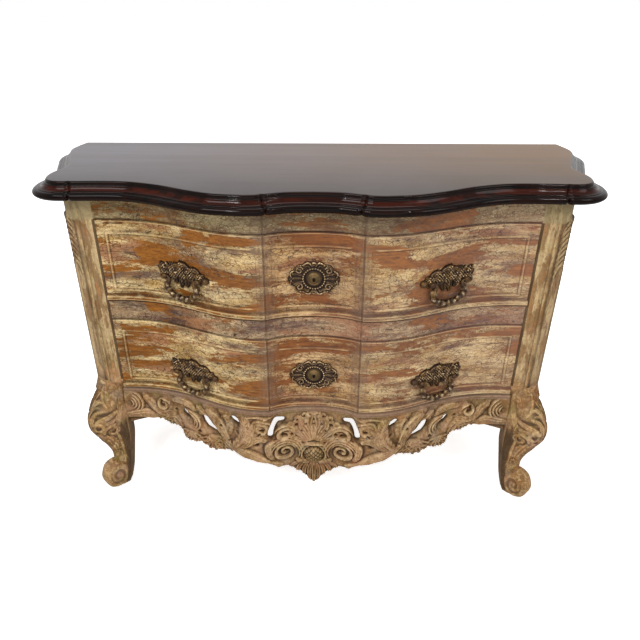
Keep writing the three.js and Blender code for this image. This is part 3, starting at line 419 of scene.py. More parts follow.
class Nodes:
    # Short ways to add nodes to one tree
    def __init__(self, tree):
        self.tree = tree

    def feed(self, item, inputs):
        for key, value in inputs.items():
            if isinstance(value, bpy.types.NodeSocket):
                self.tree.links.new(value, item.inputs[key])
            elif value is not None:
                item.inputs[key].default_value = value

    def add(self, kind, inputs=None, **settings):
        item = self.tree.nodes.new(kind)
        for key, value in settings.items():
            setattr(item, key, value)
        self.feed(item, inputs or {})
        return item

    def placed(self, stretch=(1, 1, 1), offset=(0, 0, 0)):
        where = self.add("ShaderNodeTexCoord").outputs["Object"]
        return self.add("ShaderNodeMapping",
                        {"Vector": where, "Scale": stretch, "Location": offset}).outputs["Vector"]

    def axis(self, name):
        return self.add("ShaderNodeSeparateXYZ", {"Vector": self.placed()}).outputs[name]

    def cavity(self):
        return self.add("ShaderNodeAttribute", attribute_name="cavity").outputs["Fac"]

    def noise(self, vector, scale, detail, roughness=0.55, distortion=0.0):
        inputs = {"Vector": vector, "Scale": scale, "Detail": detail, "Roughness": roughness,
                  "Distortion": distortion}
        return self.add("ShaderNodeTexNoise", inputs).outputs["Fac"]

    def ramp(self, value, low, high, first=0.0, second=1.0):
        inputs = {"Value": value, "From Min": low, "From Max": high, "To Min": first, "To Max": second}
        return self.add("ShaderNodeMapRange", inputs).outputs["Result"]

    def math(self, operation, *values):
        return self.add("ShaderNodeMath", dict(enumerate(values)), operation=operation).outputs["Value"]

    def plus(self, first, second):
        return self.math("ADD", first, second)

    def less(self, first, second):
        return self.math("SUBTRACT", first, second)

    def times(self, first, second):
        return self.math("MULTIPLY", first, second)

    def mix(self, factor, first, second, blend="MIX"):
        return self.add("ShaderNodeMix", {0: factor, 6: first, 7: second}, data_type="RGBA",
                        blend_type=blend).outputs[2]

    def coat(self, under, colour, field, low, high, most=1.0, blend="MIX"):
        # A colour laid over another, from none where the field is low to the most where it is high
        return self.mix(self.ramp(field, low, high, 0.0, most), under, colour, blend)

    def bump(self, height, distance, strength, under=None):
        inputs = {"Height": height, "Distance": distance, "Strength": strength, "Normal": under}
        return self.add("ShaderNodeBump", inputs).outputs["Normal"]


def newMaterial(name):
    material = bpy.data.materials.new(name)
    material.use_nodes = True
    material.node_tree.nodes.clear()
    n = Nodes(material.node_tree)
    shader = n.add("ShaderNodeBsdfPrincipled")
    n.add("ShaderNodeOutputMaterial", {"Surface": shader.outputs["BSDF"]})
    return material, n, shader


paintLook = {
    "wood": tint(108, 60, 11), "woodLight": tint(160, 100, 30), "cream": tint(234, 205, 150),
    "creamDeep": tint(178, 142, 80), "mauve": tint(116, 92, 74), "pink": tint(164, 117, 80),
    "crack": tint(44, 28, 14), "dirt": tint(56, 36, 15), "chalk": tint(240, 218, 180),
    "right": tint(158, 124, 120), "middle": tint(226, 204, 196), "patchStretch": (4.4, 10.0, 20.0),
    "offset": (0, 0, 0), "woodCover": 0.47, "mauveCover": 0.60, "pinkCover": 0.57, "crackScale": 120.0,
    "specular": 0.22, "lines": 0.6, "middleTint": 0.0, "beakTint": 0.0, "beakReach": 0.034,
}


def paintedMaterial(name, **changes):
    # Crackled cream paint over pink and mauve undercoats, worn down to orange wood
    look = {**paintLook, **changes}
    material, n, shader = newMaterial(name)
    stretch = look["patchStretch"]

    def alongGrain(lengthwise, crosswise):
        return tuple(lengthwise if s == min(stretch) else crosswise for s in stretch)
    other = n.placed(stretch, (7.3, 1.1, 3.7))
    third = n.placed(stretch, (2.1, 9.2, 11.4))
    plain = n.placed()
    grain = n.placed(alongGrain(6.0, 70.0))
    fibres = n.noise(grain, 2.2, 5.0, 0.65, 0.4)
    ragged = n.noise(n.placed(alongGrain(0.4, 1.0)), 95.0, 8.0, 0.8)
    specks = n.noise(n.placed(alongGrain(0.4, 1.0), (3, 5, 1)), 330.0, 4.0, 0.75)
    bands = n.noise(n.placed(alongGrain(7.0, 150.0)), 1.0, 4.0, 0.6)

    def patch(vector, cover, softness, fray):
        # Patches of a coat whose edges fray along the grain
        field = n.noise(vector, 1.0, 7.0, 0.6, 0.35)
        field = n.plus(field, n.math("MULTIPLY_ADD", ragged, fray, -fray / 2))
        field = n.plus(field, n.math("MULTIPLY_ADD", fibres, 0.1, -0.05))
        return n.ramp(field, cover - softness, cover + softness)

    def cells(vector, scale):
        return n.add("ShaderNodeTexVoronoi", {"Vector": vector, "Scale": scale, "Randomness": 1.0},
                     feature="DISTANCE_TO_EDGE").outputs["Distance"]

    wood = n.coat(look["wood"], look["woodLight"], fibres, 0.3, 0.7)
    wood = n.coat(wood, look["crack"], n.noise(grain, 7.0, 3.0, 0.6), 0.55, 0.75, 0.5)
    wood = n.coat(wood, look["creamDeep"], specks, 0.66, 0.7, 0.85)
    paint = n.coat(look["cream"], look["creamDeep"], n.noise(other, 1.7, 3.0), 0.38, 0.62)
    paint = n.coat(paint, look["mauve"], n.noise(plain, 34.0, 4.0, 0.65), 0.45, 0.75, 0.45)
    paint = n.coat(paint, look["dirt"], specks, 0.42, 0.34, 0.85)
    paint = n.coat(paint, look["chalk"], specks, 0.56, 0.64, 0.7)
    paint = n.mix(patch(third, look["pinkCover"], 0.05, 0.2), paint, look["pink"])
    paint = n.mix(patch(other, look["mauveCover"], 0.06, 0.25), paint, look["mauve"])

    wideCrack = n.ramp(cells(n.placed(alongGrain(0.5, 1.0)), look["crackScale"]), 0.012, 0.06, 1.0, 0.0)
    fineCrack = n.ramp(cells(plain, look["crackScale"] * 2.1), 0.01, 0.07, 0.75, 0.0)
    amount = n.ramp(n.noise(other, 2.3, 3.0), 0.4, 0.6)
    cracks = n.times(n.math("MAXIMUM", wideCrack, n.times(fineCrack, amount)),
                     n.ramp(n.noise(third, 3.1, 3.0), 0.36, 0.56, 0.15, 1.0))
    paint = n.mix(cracks, paint, look["crack"])

    bare = n.less(1.0, patch(n.placed(stretch, look["offset"]), look["woodCover"], 0.012, 0.42))
    scuffs = n.ramp(n.plus(ragged, n.times(fibres, 0.5)), 0.82, 0.87, 0.0, 0.7)
    worn = n.math("MAXIMUM", bare, scuffs)
    cavity = n.cavity()
    colour = n.mix(worn, paint, wood)
    colour = n.coat(colour, look["dirt"], bands, 0.58, 0.64, look["lines"])
    # Painted highlight: cream on the ridges, and on the strip worn pale beside each seam
    colour = n.coat(colour, look["cream"], n.plus(cavity, n.times(ragged, 0.9)), 0.72, 1.05, 0.55)
    # Painted shadow in the seams; in the grooves of the relief the colour is dirty
    colour = n.coat(colour, look["dirt"], n.less(cavity, n.times(ragged, 0.2)), -0.12, -0.75, 0.6)
    grime = n.noise(n.placed((0.6, 1, 1)), 13.0, 6.0, 0.75)
    colour = n.coat(colour, look["dirt"], grime, 0.42, 0.72, 0.5, "MULTIPLY")

    # The right side is cooler and the middle field pinker, and painted shadow in the mauve lies beside the
    # beaks' grooves
    x = n.axis("X")
    fromMiddle = n.math("ABSOLUTE", x)
    colour = n.coat(colour, look["right"], x, -0.35, 0.6, 0.26)
    colour = n.coat(colour, look["middle"], fromMiddle, (beak + 2) * mm, (beak - 2) * mm, look["middleTint"],
                    "MULTIPLY")
    # Painted shadow beside each beak's groove, ragged at its edge
    fromBeak = n.math("ABSOLUTE", n.less(fromMiddle, beak * mm))
    near = n.times(n.ramp(fromBeak, 0.004, look["beakReach"], 1.0, 0.0),
                   n.ramp(ragged, 0.35, 0.6, 0.0, look["beakTint"]))
    colour = n.mix(near, colour, look["mauve"])
    thickness = n.less(n.times(n.less(1.0, worn), 0.7), n.times(cracks, 0.6))
    n.feed(shader, {"Base Color": colour, "Roughness": n.ramp(worn, 0.0, 1.0, 0.68, 0.55),
                    "Specular IOR Level": look["specular"],
                    "Normal": n.bump(thickness, 0.0007, 0.8, n.bump(fibres, 0.0006, 0.5))})
    return material


carvedLook = {
    "middle": tint(158, 120, 74), "light": tint(206, 172, 122), "cream": tint(234, 208, 162),
    "grey": tint(144, 124, 102), "dark": tint(50, 31, 13), "deep": tint(112, 78, 40),
    "pink": tint(182, 138, 108), "olive": tint(132, 114, 62), "rust": tint(164, 100, 50), "specular": 0.25,
    "band": 0.0, "bandTint": tint(122, 96, 82), "risen": 0.0, "risenTint": tint(126, 98, 64),
    "risenPale": tint(196, 172, 128), "blockFrom": 0.84, "blockTint": tint(140, 128, 92),
}
oldCoats = [  # colour, offset of its patches, their scale, detail and roughness, from and to, cover
    ("grey", (0, 0, 0), (19.0, 4.0, 0.6), 0.5, 0.66, 0.75),
    ("pink", (8, 2, 5), (14.0, 5.0, 0.65), 0.5, 0.6, 0.45),
    ("rust", (4, 3, 1), (13.0, 5.0, 0.65), 0.55, 0.64, 0.4),
    ("olive", (1, 7, 9), (16.0, 5.0, 0.65), 0.53, 0.62, 0.6),
]


def carvedMaterial(name, **changes):
    # Waxed and worn carving, with painted shade dark in the hollows and painted highlights pale on the ridges
    look = {**carvedLook, **changes}
    material, n, shader = newMaterial(name)
    plain = n.placed()
    speckle = n.noise(plain, 130.0, 5.0, 0.7)
    lines = n.noise(n.placed(offset=(3, 1, 2)), 46.0, 6.0, 0.72, 1.6)
    cavity = n.cavity()
    level = n.axis("Z")
    colour = n.coat(look["middle"], look["deep"], n.noise(plain, 11.0, 5.0, 0.6), 0.35, 0.6)
    for key, offset, kind, low, high, most in oldCoats:
        colour = n.coat(colour, look[key], n.noise(n.placed(offset=offset), *kind), low, high, most)
    colour = n.coat(colour, look["light"], n.plus(lines, n.times(speckle, 0.3)), 0.62, 0.82, 0.8)
    # Painted highlights: light and cream in patches on the ridges
    ridge = n.plus(cavity, n.ramp(speckle, 0.3, 0.7, -0.35, 0.35))
    patches = n.ramp(n.noise(n.placed(offset=(5, 5, 5)), 26.0, 5.0, 0.7), 0.38, 0.62, 0.25, 1.0)
    for key, low, high, most in (("light", 0.1, 0.9, 0.75), ("cream", 0.8, 1.3, 0.6)):
        colour = n.mix(n.times(patches, n.ramp(ridge, low, high, 0.0, most)), colour, look[key])
    if look["risen"]:
        # Above the knee the post is greyer, and its head takes the colour of the frieze
        blotch = n.times(n.ramp(lines, 0.36, 0.6, 0.3, 0.85),
                         n.ramp(level, look["risen"], look["risen"] + 0.06))
        streaks = n.noise(n.placed((6, 6, 1.6), (2, 4, 1)), 7.0, 6.0, 0.7)
        paint = n.coat(look["risenTint"], look["risenPale"], streaks, 0.47, 0.53)
        paint = n.coat(paint, look["rust"], streaks, 0.4, 0.36, 0.8)
        colour = n.mix(blotch, colour, paint)
        head = n.times(n.ramp(level, look["blockFrom"], look["blockFrom"] + 0.008),
                       n.ramp(lines, 0.3, 0.7, 0.85, 0.35))
        colour = n.mix(head, colour, look["blockTint"])
    # Painted shade: dark in the hollows
    hollow = n.less(cavity, n.ramp(lines, 0.35, 0.65, 0.0, 0.25))
    colour = n.coat(colour, look["dark"], hollow, -0.08, -0.85, 0.85)
    colour = n.coat(colour, look["deep"], speckle, 0.44, 0.34, 0.55)
    if look["band"]:
        # A smooth moulding along the top of the apron, darkened in an older coat's tint as painted shadow
        # under the drawer's lip
        colour = n.coat(colour, look["bandTint"], level, look["band"] - 0.006, look["band"], 0.6)
    n.feed(shader, {"Base Color": colour, "Roughness": n.ramp(ridge, -0.5, 1.0, 0.66, 0.48),
                    "Specular IOR Level": look["specular"],
                    "Normal": n.bump(speckle, 0.0005, 0.5, n.bump(lines, 0.0011, 0.5))})
    return material


mahoganyLook = {
    "red": tint(62, 20, 7), "dark": tint(24, 8, 4), "rollRed": tint(28, 9, 4), "rollDark": tint(4, 2, 1),
    "edgeRoughness": 0.09, "faceRoughness": 0.32, "coveLow": 0.9255, "coveHigh": 0.9385,
    "faceLeft": tint(106, 101, 106), "faceRight": tint(112, 76, 22), "faceGrain": tint(62, 48, 40),
    "faceFront": tint(30, 19, 17), "faceLow": 0.9455, "faceHigh": 0.9472, "edgeSpecular": 0.09,
    "faceSpecular": 0.2,
}


def mahoganyMaterial(look):
    # Dark glossy mouldings with painted reflection and shade, round a top painted with a reflection
    material, n, shader = newMaterial("mahoganyTop")
    grain = n.noise(n.placed((3.0, 60.0, 60.0)), 1.6, 6.0, 0.65, 0.5)
    pores = n.noise(n.placed((20.0, 420.0, 420.0)), 1.0, 3.0, 0.6)
    planks = n.noise(n.placed((0.5, 15.0, 1.0)), 1.0, 2.0, 0.5)
    smudges = n.noise(n.placed(), 6.0, 4.0, 0.6)
    x, y, z = n.axis("X"), n.axis("Y"), n.axis("Z")
    veins = n.ramp(grain, 0.38, 0.66)
    # Painted reflection makes the cove redder; painted shade keeps the rolls above and below it near black
    cove = n.times(n.ramp(z, look["coveLow"], look["coveLow"] + 0.003),
                   n.ramp(z, look["coveHigh"], look["coveHigh"] - 0.003))
    wood = n.mix(cove, n.mix(veins, look["rollDark"], look["rollRed"]),
                 n.mix(veins, look["dark"], look["red"]))
    # Painted reflection on the top face: grey-mauve at the left, tan at the right, darker towards the front
    faceReflection = n.coat(look["faceLeft"], look["faceRight"], x, -0.55, 0.6)
    faceReflection = n.coat(faceReflection, look["faceGrain"], planks, 0.5, 0.6, 0.2)
    faceReflection = n.coat(faceReflection, look["faceGrain"], grain, 0.45, 0.7, 0.3)
    faceReflection = n.coat(faceReflection, look["faceFront"], y, 0.12, -0.2, 0.8)
    faceReflection = n.coat(faceReflection, look["faceLeft"], smudges, 0.35, 0.7, 0.18)
    normal = n.add("ShaderNodeNewGeometry").outputs["Normal"]
    upward = n.add("ShaderNodeSeparateXYZ", {"Vector": normal}).outputs["Z"]
    facing = n.times(n.ramp(upward, 0.93, 0.995), n.ramp(z, look["faceLow"], look["faceHigh"]))
    specular = n.ramp(facing, 0.0, 1.0, look["edgeSpecular"], look["faceSpecular"])
    n.feed(shader, {"Base Color": n.mix(facing, wood, faceReflection), "Normal": n.bump(pores, 0.0002, 0.12),
                    "Roughness": n.ramp(facing, 0.0, 1.0, look["edgeRoughness"], look["faceRoughness"]),
                    "Specular IOR Level": specular})
    return material


bronzeLook = {
    "dark": tint(66, 48, 36), "brown": tint(104, 76, 40), "bright": tint(206, 180, 140),
    "black": tint(26, 17, 12), "lift": 0.1, "metallic": 0.75,
}


def bronzeMaterial(name, **changes):
    look = {**bronzeLook, **changes}
    material, n, shader = newMaterial(name)
    plain = n.placed()
    broad = n.noise(plain, 60.0, 4.0, 0.6)
    cavity = n.cavity()
    ridge = n.plus(cavity, n.ramp(n.noise(plain, 420.0, 3.0, 0.6), 0.35, 0.7, -0.4, 0.4))
    ridge = n.less(ridge, look["lift"])
    colour = n.coat(look["dark"], look["brown"], broad, 0.4, 0.62)
    colour = n.coat(colour, look["bright"], ridge, 0.3, 0.9, 0.9)
    colour = n.coat(colour, look["black"], cavity, -0.05, -0.6, 0.9)
    n.feed(shader, {"Base Color": colour, "Metallic": look["metallic"], "Normal": n.bump(broad, 0.0006, 0.35),
                    "Roughness": n.ramp(ridge, -0.2, 1.0, 0.55, 0.3)})
    return material


bareLook = {"aged": tint(104, 84, 62), "roughness": 0.72}


def bareMaterial(name, along, light, dark):
    # Unfinished wood whose grain runs along one axis
    material, n, shader = newMaterial(name)
    stretch = tuple(4.0 if axis == along else 70.0 for axis in (0, 1, 2))
    rings = n.noise(n.placed(stretch), 1.3, 6.0, 0.65, 0.9)
    pores = n.noise(n.placed(tuple(s * 6 for s in stretch)), 1.2, 3.0, 0.6)
    colour = n.coat(light, dark, rings, 0.33, 0.68)
    colour = n.coat(colour, dark, pores, 0.55, 0.75, 0.5)
    colour = n.coat(colour, bareLook["aged"], n.noise(n.placed(), 5.0, 4.0, 0.6), 0.4, 0.7, 0.4)
    n.feed(shader, {"Base Color": colour, "Roughness": bareLook["roughness"],
                    "Normal": n.bump(rings, 0.0008, 0.35)})
    return material


steelLook = {"bright": tint(96, 92, 88), "rusty": tint(70, 52, 40), "metallic": 0.9}


def steelMaterial(look):
    material, n, shader = newMaterial("dullSteel")
    broad = n.noise(n.placed(), 90.0, 5.0, 0.65)
    n.feed(shader, {"Base Color": n.coat(look["bright"], look["rusty"], broad, 0.4, 0.65),
                    "Metallic": look["metallic"], "Roughness": n.ramp(broad, 0.3, 0.7, 0.35, 0.6),
                    "Normal": n.bump(broad, 0.0003, 0.3)})
    return material


mahogany = mahoganyMaterial(mahoganyLook)
drawerPaint = paintedMaterial("drawerPaint", beakTint=0.75, middleTint=0.55)
railPaint = paintedMaterial("railPaint", woodCover=0.4, mauveCover=0.55, pinkCover=0.55, offset=(4.4, 0, 5.1),
                            cream=tint(196, 168, 126), creamDeep=tint(164, 134, 98), mauve=tint(94, 70, 62),
                            beakTint=0.5, beakReach=0.075, lines=0.5)
friezePaint = paintedMaterial("friezePaint", woodCover=0.445, mauveCover=0.58, cream=tint(188, 168, 122),
                              creamDeep=tint(142, 120, 78), pink=tint(126, 94, 62), mauve=tint(96, 76, 60),
                              offset=(1.4, 3, 2.7), beakTint=0.8, beakReach=0.11, lines=0.4)
sidePaint = paintedMaterial("sidePaint", patchStretch=(10.5, 8.0, 2.6), woodCover=0.42, mauveCover=0.54)
carvedWood = carvedMaterial("carvedWood")
carvedPost = carvedMaterial("carvedPost", risen=0.36)
carvedApron = carvedMaterial("carvedApron", light=tint(192, 162, 120), middle=tint(142, 104, 62),
                             band=(caseSizes["lowerBase"] - 8) * mm)
bronze = bronzeMaterial("antiqueBronze")
rubbedBronze = bronzeMaterial("rubbedBronze", bright=tint(186, 166, 134), lift=-0.07)
darkBronze = bronzeMaterial("darkBronze", brown=tint(84, 62, 38), bright=tint(196, 168, 128), lift=0.14)
discBrass = bronzeMaterial("discBrass", dark=tint(84, 68, 42), brown=tint(108, 86, 52),
                           bright=tint(158, 134, 92))
woodAcross = bareMaterial("bareWoodAcross", 0, tint(178, 136, 88), tint(140, 98, 58))
woodDeep = bareMaterial("bareWoodDeep", 1, tint(182, 142, 94), tint(142, 102, 62))
steel = steelMaterial(steelLook)
print("materials made")


# Camera, lights and floor, from the photograph's own viewing angle

cameraLook = {
    "place": (0.03846, -1.53162, 1.34621), "yaw": -0.041413, "pitch": 0.504660, "roll": -0.005431,
    "lens": 33.624, "sensor": 36.0, "shift": 0.01986,
}


def putInScene(item, place=None, axes=None):
    # A place and three axes turn and move the item; without them it stays at the origin
    if place is not None:
        rows = [[*row, at] for row, at in zip(np.transpose(axes), place)]
        item.matrix_world = Matrix(rows + [[0, 0, 0, 1]])
    bpy.context.scene.collection.objects.link(item)


def setCamera(look):
    yaw, pitch, roll = look["yaw"], look["pitch"], look["roll"]
    forward = np.array([math.sin(yaw) * math.cos(pitch), math.cos(yaw) * math.cos(pitch), -math.sin(pitch)])
    level = np.array([math.cos(yaw), -math.sin(yaw), 0.0])
    above = np.cross(level, forward)
    right = level * math.cos(roll) + above * math.sin(roll)
    up = -level * math.sin(roll) + above * math.cos(roll)
    data = bpy.data.cameras.new("camera")
    data.lens = look["lens"]
    data.sensor_width = look["sensor"]
    data.sensor_fit = "HORIZONTAL"
    data.shift_x = look["shift"]
    camera = bpy.data.objects.new("camera", data)
    putInScene(camera, look["place"], (right, up, -forward))
    bpy.context.scene.camera = camera


lampLook = [  # name, place, the height aimed at, width and height, power
    ("keySoftbox", (-1.6, -2.2, 2.9), 0.5, (1.5, 1.0), 51),
    ("fillSoftbox", (2.3, -1.9, 2.3), 0.5, (1.3, 1.3), 27),
    ("topSoftbox", (0.1, 0.6, 3.2), 0.7, (1.6, 1.0), 20),
    ("lowFill", (0.0, -2.8, 0.8), 0.35, (2.4, 0.8), 11),
    ("glintLeft", (-1.1, -2.3, 2.5), 0.6, (0.06, 0.06), 8),
    ("glintRight", (1.3, -2.2, 2.7), 0.6, (0.06, 0.06), 8),
]


def setLamp(name, place, aim, size, power):
    data = bpy.data.lights.new(name, "AREA")
    data.shape = "RECTANGLE"
    data.size, data.size_y = size
    data.energy = power
    back = np.array(place) - (0, 0, aim)
    back /= np.linalg.norm(back)
    side = np.cross((0.0, 0.0, 1.0), back)
    side /= np.linalg.norm(side)
    putInScene(bpy.data.objects.new(name, data), place, (side, np.cross(back, side), back))


floorLook = {
    "half": 30.0, "colour": (0.88, 0.88, 0.87, 1.0), "roughness": 0.9, "white": (1.0, 1.0, 1.0, 1.0),
    "ambient": 0.4, "near": 0.7, "far": 1.8, "lift": 0.7,
}


def setFloor(look):
    half = look["half"] / mm
    corners = [(-half, -half, 0), (half, -half, 0), (half, half, 0), (-half, half, 0)]
    mesh = makeMesh("floor", corners, [[0, 1, 2, 3]])
    material, n, shader = newMaterial("paleFloor")
    # For the camera alone the floor grows white away from the object, and keeps its shadow beside it
    away = n.add("ShaderNodeVectorMath", {0: n.placed()}, operation="LENGTH").outputs["Value"]
    seen = n.add("ShaderNodeLightPath").outputs["Is Camera Ray"]
    glow = n.times(seen, n.ramp(away, look["near"], look["far"], look["lift"], 1.0))
    n.feed(shader, {"Base Color": look["colour"], "Roughness": look["roughness"],
                    "Emission Color": look["white"], "Emission Strength": glow})
    mesh.materials.append(material)
    floor = bpy.data.objects.new("floor", mesh)
    putInScene(floor)


def setWorld(look):
    world = bpy.data.worlds.new("studio")
    world.use_nodes = True
    world.node_tree.nodes.clear()
    n = Nodes(world.node_tree)
    rays = n.add("ShaderNodeLightPath").outputs
    seen = n.math("MAXIMUM", rays["Is Camera Ray"], rays["Is Glossy Ray"])
    strength = n.ramp(seen, 0.0, 1.0, look["ambient"], 1.0)
    light = n.add("ShaderNodeBackground", {"Color": look["white"], "Strength": strength})
    n.add("ShaderNodeOutputWorld", {"Surface": light.outputs["Background"]})
    bpy.context.scene.world = world


setCamera(cameraLook)
for lampRow in lampLook:
    setLamp(*lampRow)
setFloor(floorLook)
setWorld(floorLook)
bpy.context.scene.view_settings.view_transform = "Standard"
print("camera, lights and floor placed")


# The moulded top: one line run round the outline, with the edge profile swept along it

topLook = {
    "halfWidth": 704, "frontDepth": 239, "backDepth": 272, "sideOut": 45, "frontOut": 33, "height": 948,
    "thickness": 42, "breaks": (beak - 3, 592), "breakHalf": 8.0, "breakDepth": 6.5,
    "side": [(0.983, 1), (1, 0.72), (0.974, 0.478), (0.943, 0.243), (0.918, 0.05), (0.921, -0.1),
             (0.931, -0.2), (0.936, -0.29)],
    "ear": [(0.936, -0.29), (0.936, -0.58), (0.87, -0.58)],
    "flank": [(0.84, -0.578), (0.73, -0.565), (0.63, -0.585), (0.52, -0.69), (0.42, -0.845), (0.33, -0.957),
              (0.24, -0.998), (0.213, -1)],
    "centre": [(0.192, -0.995), (0.155, -0.958), (0.091, -0.9), (0, -0.883)],
    "edge": [(-0.12, 0), (0, 0), (0.05, 0.004), (0.09, 0.014), (0.13, 0.03), (0.155, 0.055), (0.17, 0.09),
             (0.182, 0.14), (0.19, 0.19), (0.2, 0.205), (0.25, 0.212), (0.28, 0.228), (0.30, 0.25),
             (0.318, 0.3), (0.345, 0.35), (0.38, 0.395), (0.42, 0.435), (0.47, 0.47), (0.53, 0.497),
             (0.6, 0.512), (0.65, 0.52), (0.66, 0.545), (0.7, 0.56), (0.76, 0.562), (0.83, 0.575),
             (0.9, 0.605), (0.95, 0.645), (0.985, 0.7), (1, 0.76), (0.998, 0.82), (0.975, 0.875),
             (0.94, 0.915), (0.9, 0.945), (0.87, 0.955), (0.86, 0.975), (0.83, 0.99), (0.8, 1)],
}


def blurLine(values, size):
    padded = np.pad(values, size, mode="edge")
    return np.convolve(padded, np.ones(size) / size, mode="same")[size:-size]


def topMesh(look):
    def places(shares):
        return [(w * look["halfWidth"], d * look["backDepth" if d > 0 else "frontDepth"]) for w, d in shares]
    half = np.vstack([catmull(places(look["side"]), 60), bezier(places(look["ear"]), 26)[1:],
                      catmull(places(look["flank"]), 130), catmull(places(look["centre"]), 50)])
    outline, even = evenLine(np.vstack([half, (half[:-1] * [-1, 1])[::-1]]), 620)
    way = across(outline)
    way[0], way[-1] = (1, 0), (-1, 0)
    way = np.stack([blurLine(way[:, i], 9) for i in (0, 1)], axis=1)
    way /= np.linalg.norm(way, axis=1)[:, None]
    # Closer points at the four breaks in the front's moulding
    behind = 1000 * (outline[:, 1] >= -look["frontDepth"] / 2)
    runs = [even]
    for place in look["breaks"]:
        for sign in (-1, 1):
            nearest = np.argmin(np.abs(outline[:, 0] - sign * place) + behind)
            runs.append(even[nearest] + np.linspace(-2, 2, 33) * look["breakHalf"])
    runs = np.unique(np.concatenate(runs))
    outline, way = (np.stack([np.interp(runs, even, line[:, i]) for i in (0, 1)], axis=1)
                    for line in (outline, way))
    notch = np.zeros(len(runs))
    for place in look["breaks"]:
        off = np.abs(np.abs(outline[:, 0]) - place) / look["breakHalf"]
        notch += look["breakDepth"] * np.clip(1 - off, 0, 1)**1.4 * (outline[:, 1] < -look["frontDepth"] / 2)
    out, down = np.array(look["edge"]).T[:, :, None]
    cut = np.clip(out * 3, 0, 1) * notch
    rings = np.zeros((len(out), len(outline), 3))
    rings[:, :, 0] = outline[:, 0] + way[:, 0] * (out * look["sideOut"] - cut)
    rings[:, :, 1] = np.minimum(outline[:, 1] + way[:, 1] * (out * look["frontOut"] - cut), look["backDepth"])
    rings[:, :, 2] = look["height"] - down * look["thickness"]
    return tubeMesh("topBoard", rings, sharp=50)


finishPiece("topBoard", topMesh(topLook), mahogany, "case", ["top_board"])
print("top made")


# Rails and drawer fronts, all bent to the same serpentine line

railLook = {
    "step": 5.0, "heightStep": 6.0, "grooveHalf": 3.2, "grooveDepth": 4.0, "round": 1.2, "recess": 20,
    "recessDepth": 28,
}


def grooveOut(x, look):
    off = np.abs(np.abs(x) - beak) / look["grooveHalf"]
    return -look["grooveDepth"] * np.clip(1 - off, 0, 1)**0.8


def edgeRound(z, z0, z1, size):
    inside = np.minimum(z - z0, z1 - z)
    return -size * np.clip(1 - inside / size, 0, 1)**2


def railMesh(name, z0, z1, look):
    end = caseSizes["postInner"] - caseSizes["gap"]
    u = marked(-end, end, look["step"], [-beak, beak], 6, 0.8)
    v = marked(z0, z1, look["heightStep"], [z0 + 1.5, z1 - 1.5], 1.5, 0.5)

    def out(x, z):
        return grooveOut(x, look) + edgeRound(z, z0, z1, look["round"])

    def back(x):
        # Hollowed behind the beak's middle, where the bolt of the lock comes up
        near = 1 - smoothStep(np.abs(x), look["recess"], look["recess"] + 4)
        return caseSizes["railDepth"] - (caseSizes["railDepth"] - look["recessDepth"]) * near
    return boardMesh(name, u, v, out, back, 5, 3.0)


for rail, low, high, paint in (("frieze", caseSizes["upperTop"], caseSizes["top"], friezePaint),
                               ("middle", caseSizes["lowerTop"], caseSizes["upperBase"], railPaint)):
    finishPiece(rail + "Rail", railMesh(rail, low, high, railLook), paint, "case",
                [rail + "_rail"])

frontLook = {
    "step": 4.0, "fine": 0.9, "borderEnd": 20, "borderTop": 30, "borderBeak": 9, "borderBottom": 25,
    "bead": 10, "beadRise": 3.0, "beadHalf": 3.9, "beadFaint": 0.3, "faintBeside": (14, 40), "beadAt": 5.2,
    "nick": 0.9, "nicks": ((0.4, 0.8), (10.2, 0.9)), "fieldFrom": (8.5, 11.5), "lip": 17, "lipRise": 7.0,
    "lipRound": 0.36, "lipCurve": 0.40, "lipFall": (0.7, 0.98), "lipNick": 0.8, "lipNickAt": (0.4, 0.9),
    "round": 2.0, "cornerRound": 7,
}


def frontRelief(x, z, z0, z1, look):
    # A fine lip along the foot, and a bead that frames each of the three fields
    end = caseSizes["postInner"] - caseSizes["reveal"] - look["borderEnd"]
    side = beak + look["borderBeak"]
    r = look["cornerRound"]
    up = np.minimum(z - z0 - look["borderBottom"], z1 - look["borderTop"] - z)
    inside = np.full_like(x, -1e3)
    for left, right in ((look["borderBeak"] - beak, beak - look["borderBeak"]), (side, end), (-end, -side)):
        over = np.minimum(x - left, right - x)
        corner = r - np.hypot(np.clip(r - over, 0, None), np.clip(r - up, 0, None))
        inside = np.maximum(inside, np.where((over < r) & (up < r), corner, np.minimum(over, up)))
    off = (inside - look["beadAt"]) / look["beadHalf"]
    fromBeak = np.abs(np.abs(x) - beak)
    faint = look["beadFaint"] + (1 - look["beadFaint"]) * smoothStep(fromBeak, *look["faintBeside"])
    bead = look["beadRise"] * faint * np.sqrt(np.clip(1 - off**2, 0, 1))
    grooves = -look["nick"] * sum(ridgeAt(inside, *place) for place in look["nicks"])
    field = caseSizes["fieldRise"] * smoothStep(inside, *look["fieldFrom"])
    out = np.where(inside > -3, np.maximum(bead, field + grooves), 0)
    above = z - z0
    t = np.clip(above / look["lip"], 0, 1)
    curve = np.sqrt(np.clip(1 - ((look["lipRound"] - t) / look["lipCurve"])**2, 0, 1))
    lip = np.where(t < look["lipRound"], curve, 1 - smoothStep(t, *look["lipFall"]))
    out = out + np.where(above < look["lip"], look["lipRise"] * lip, 0)
    out = out - look["lipNick"] * ridgeAt(above - look["lip"], *look["lipNickAt"])
    return out + edgeRound(z, z0, z1, look["round"])


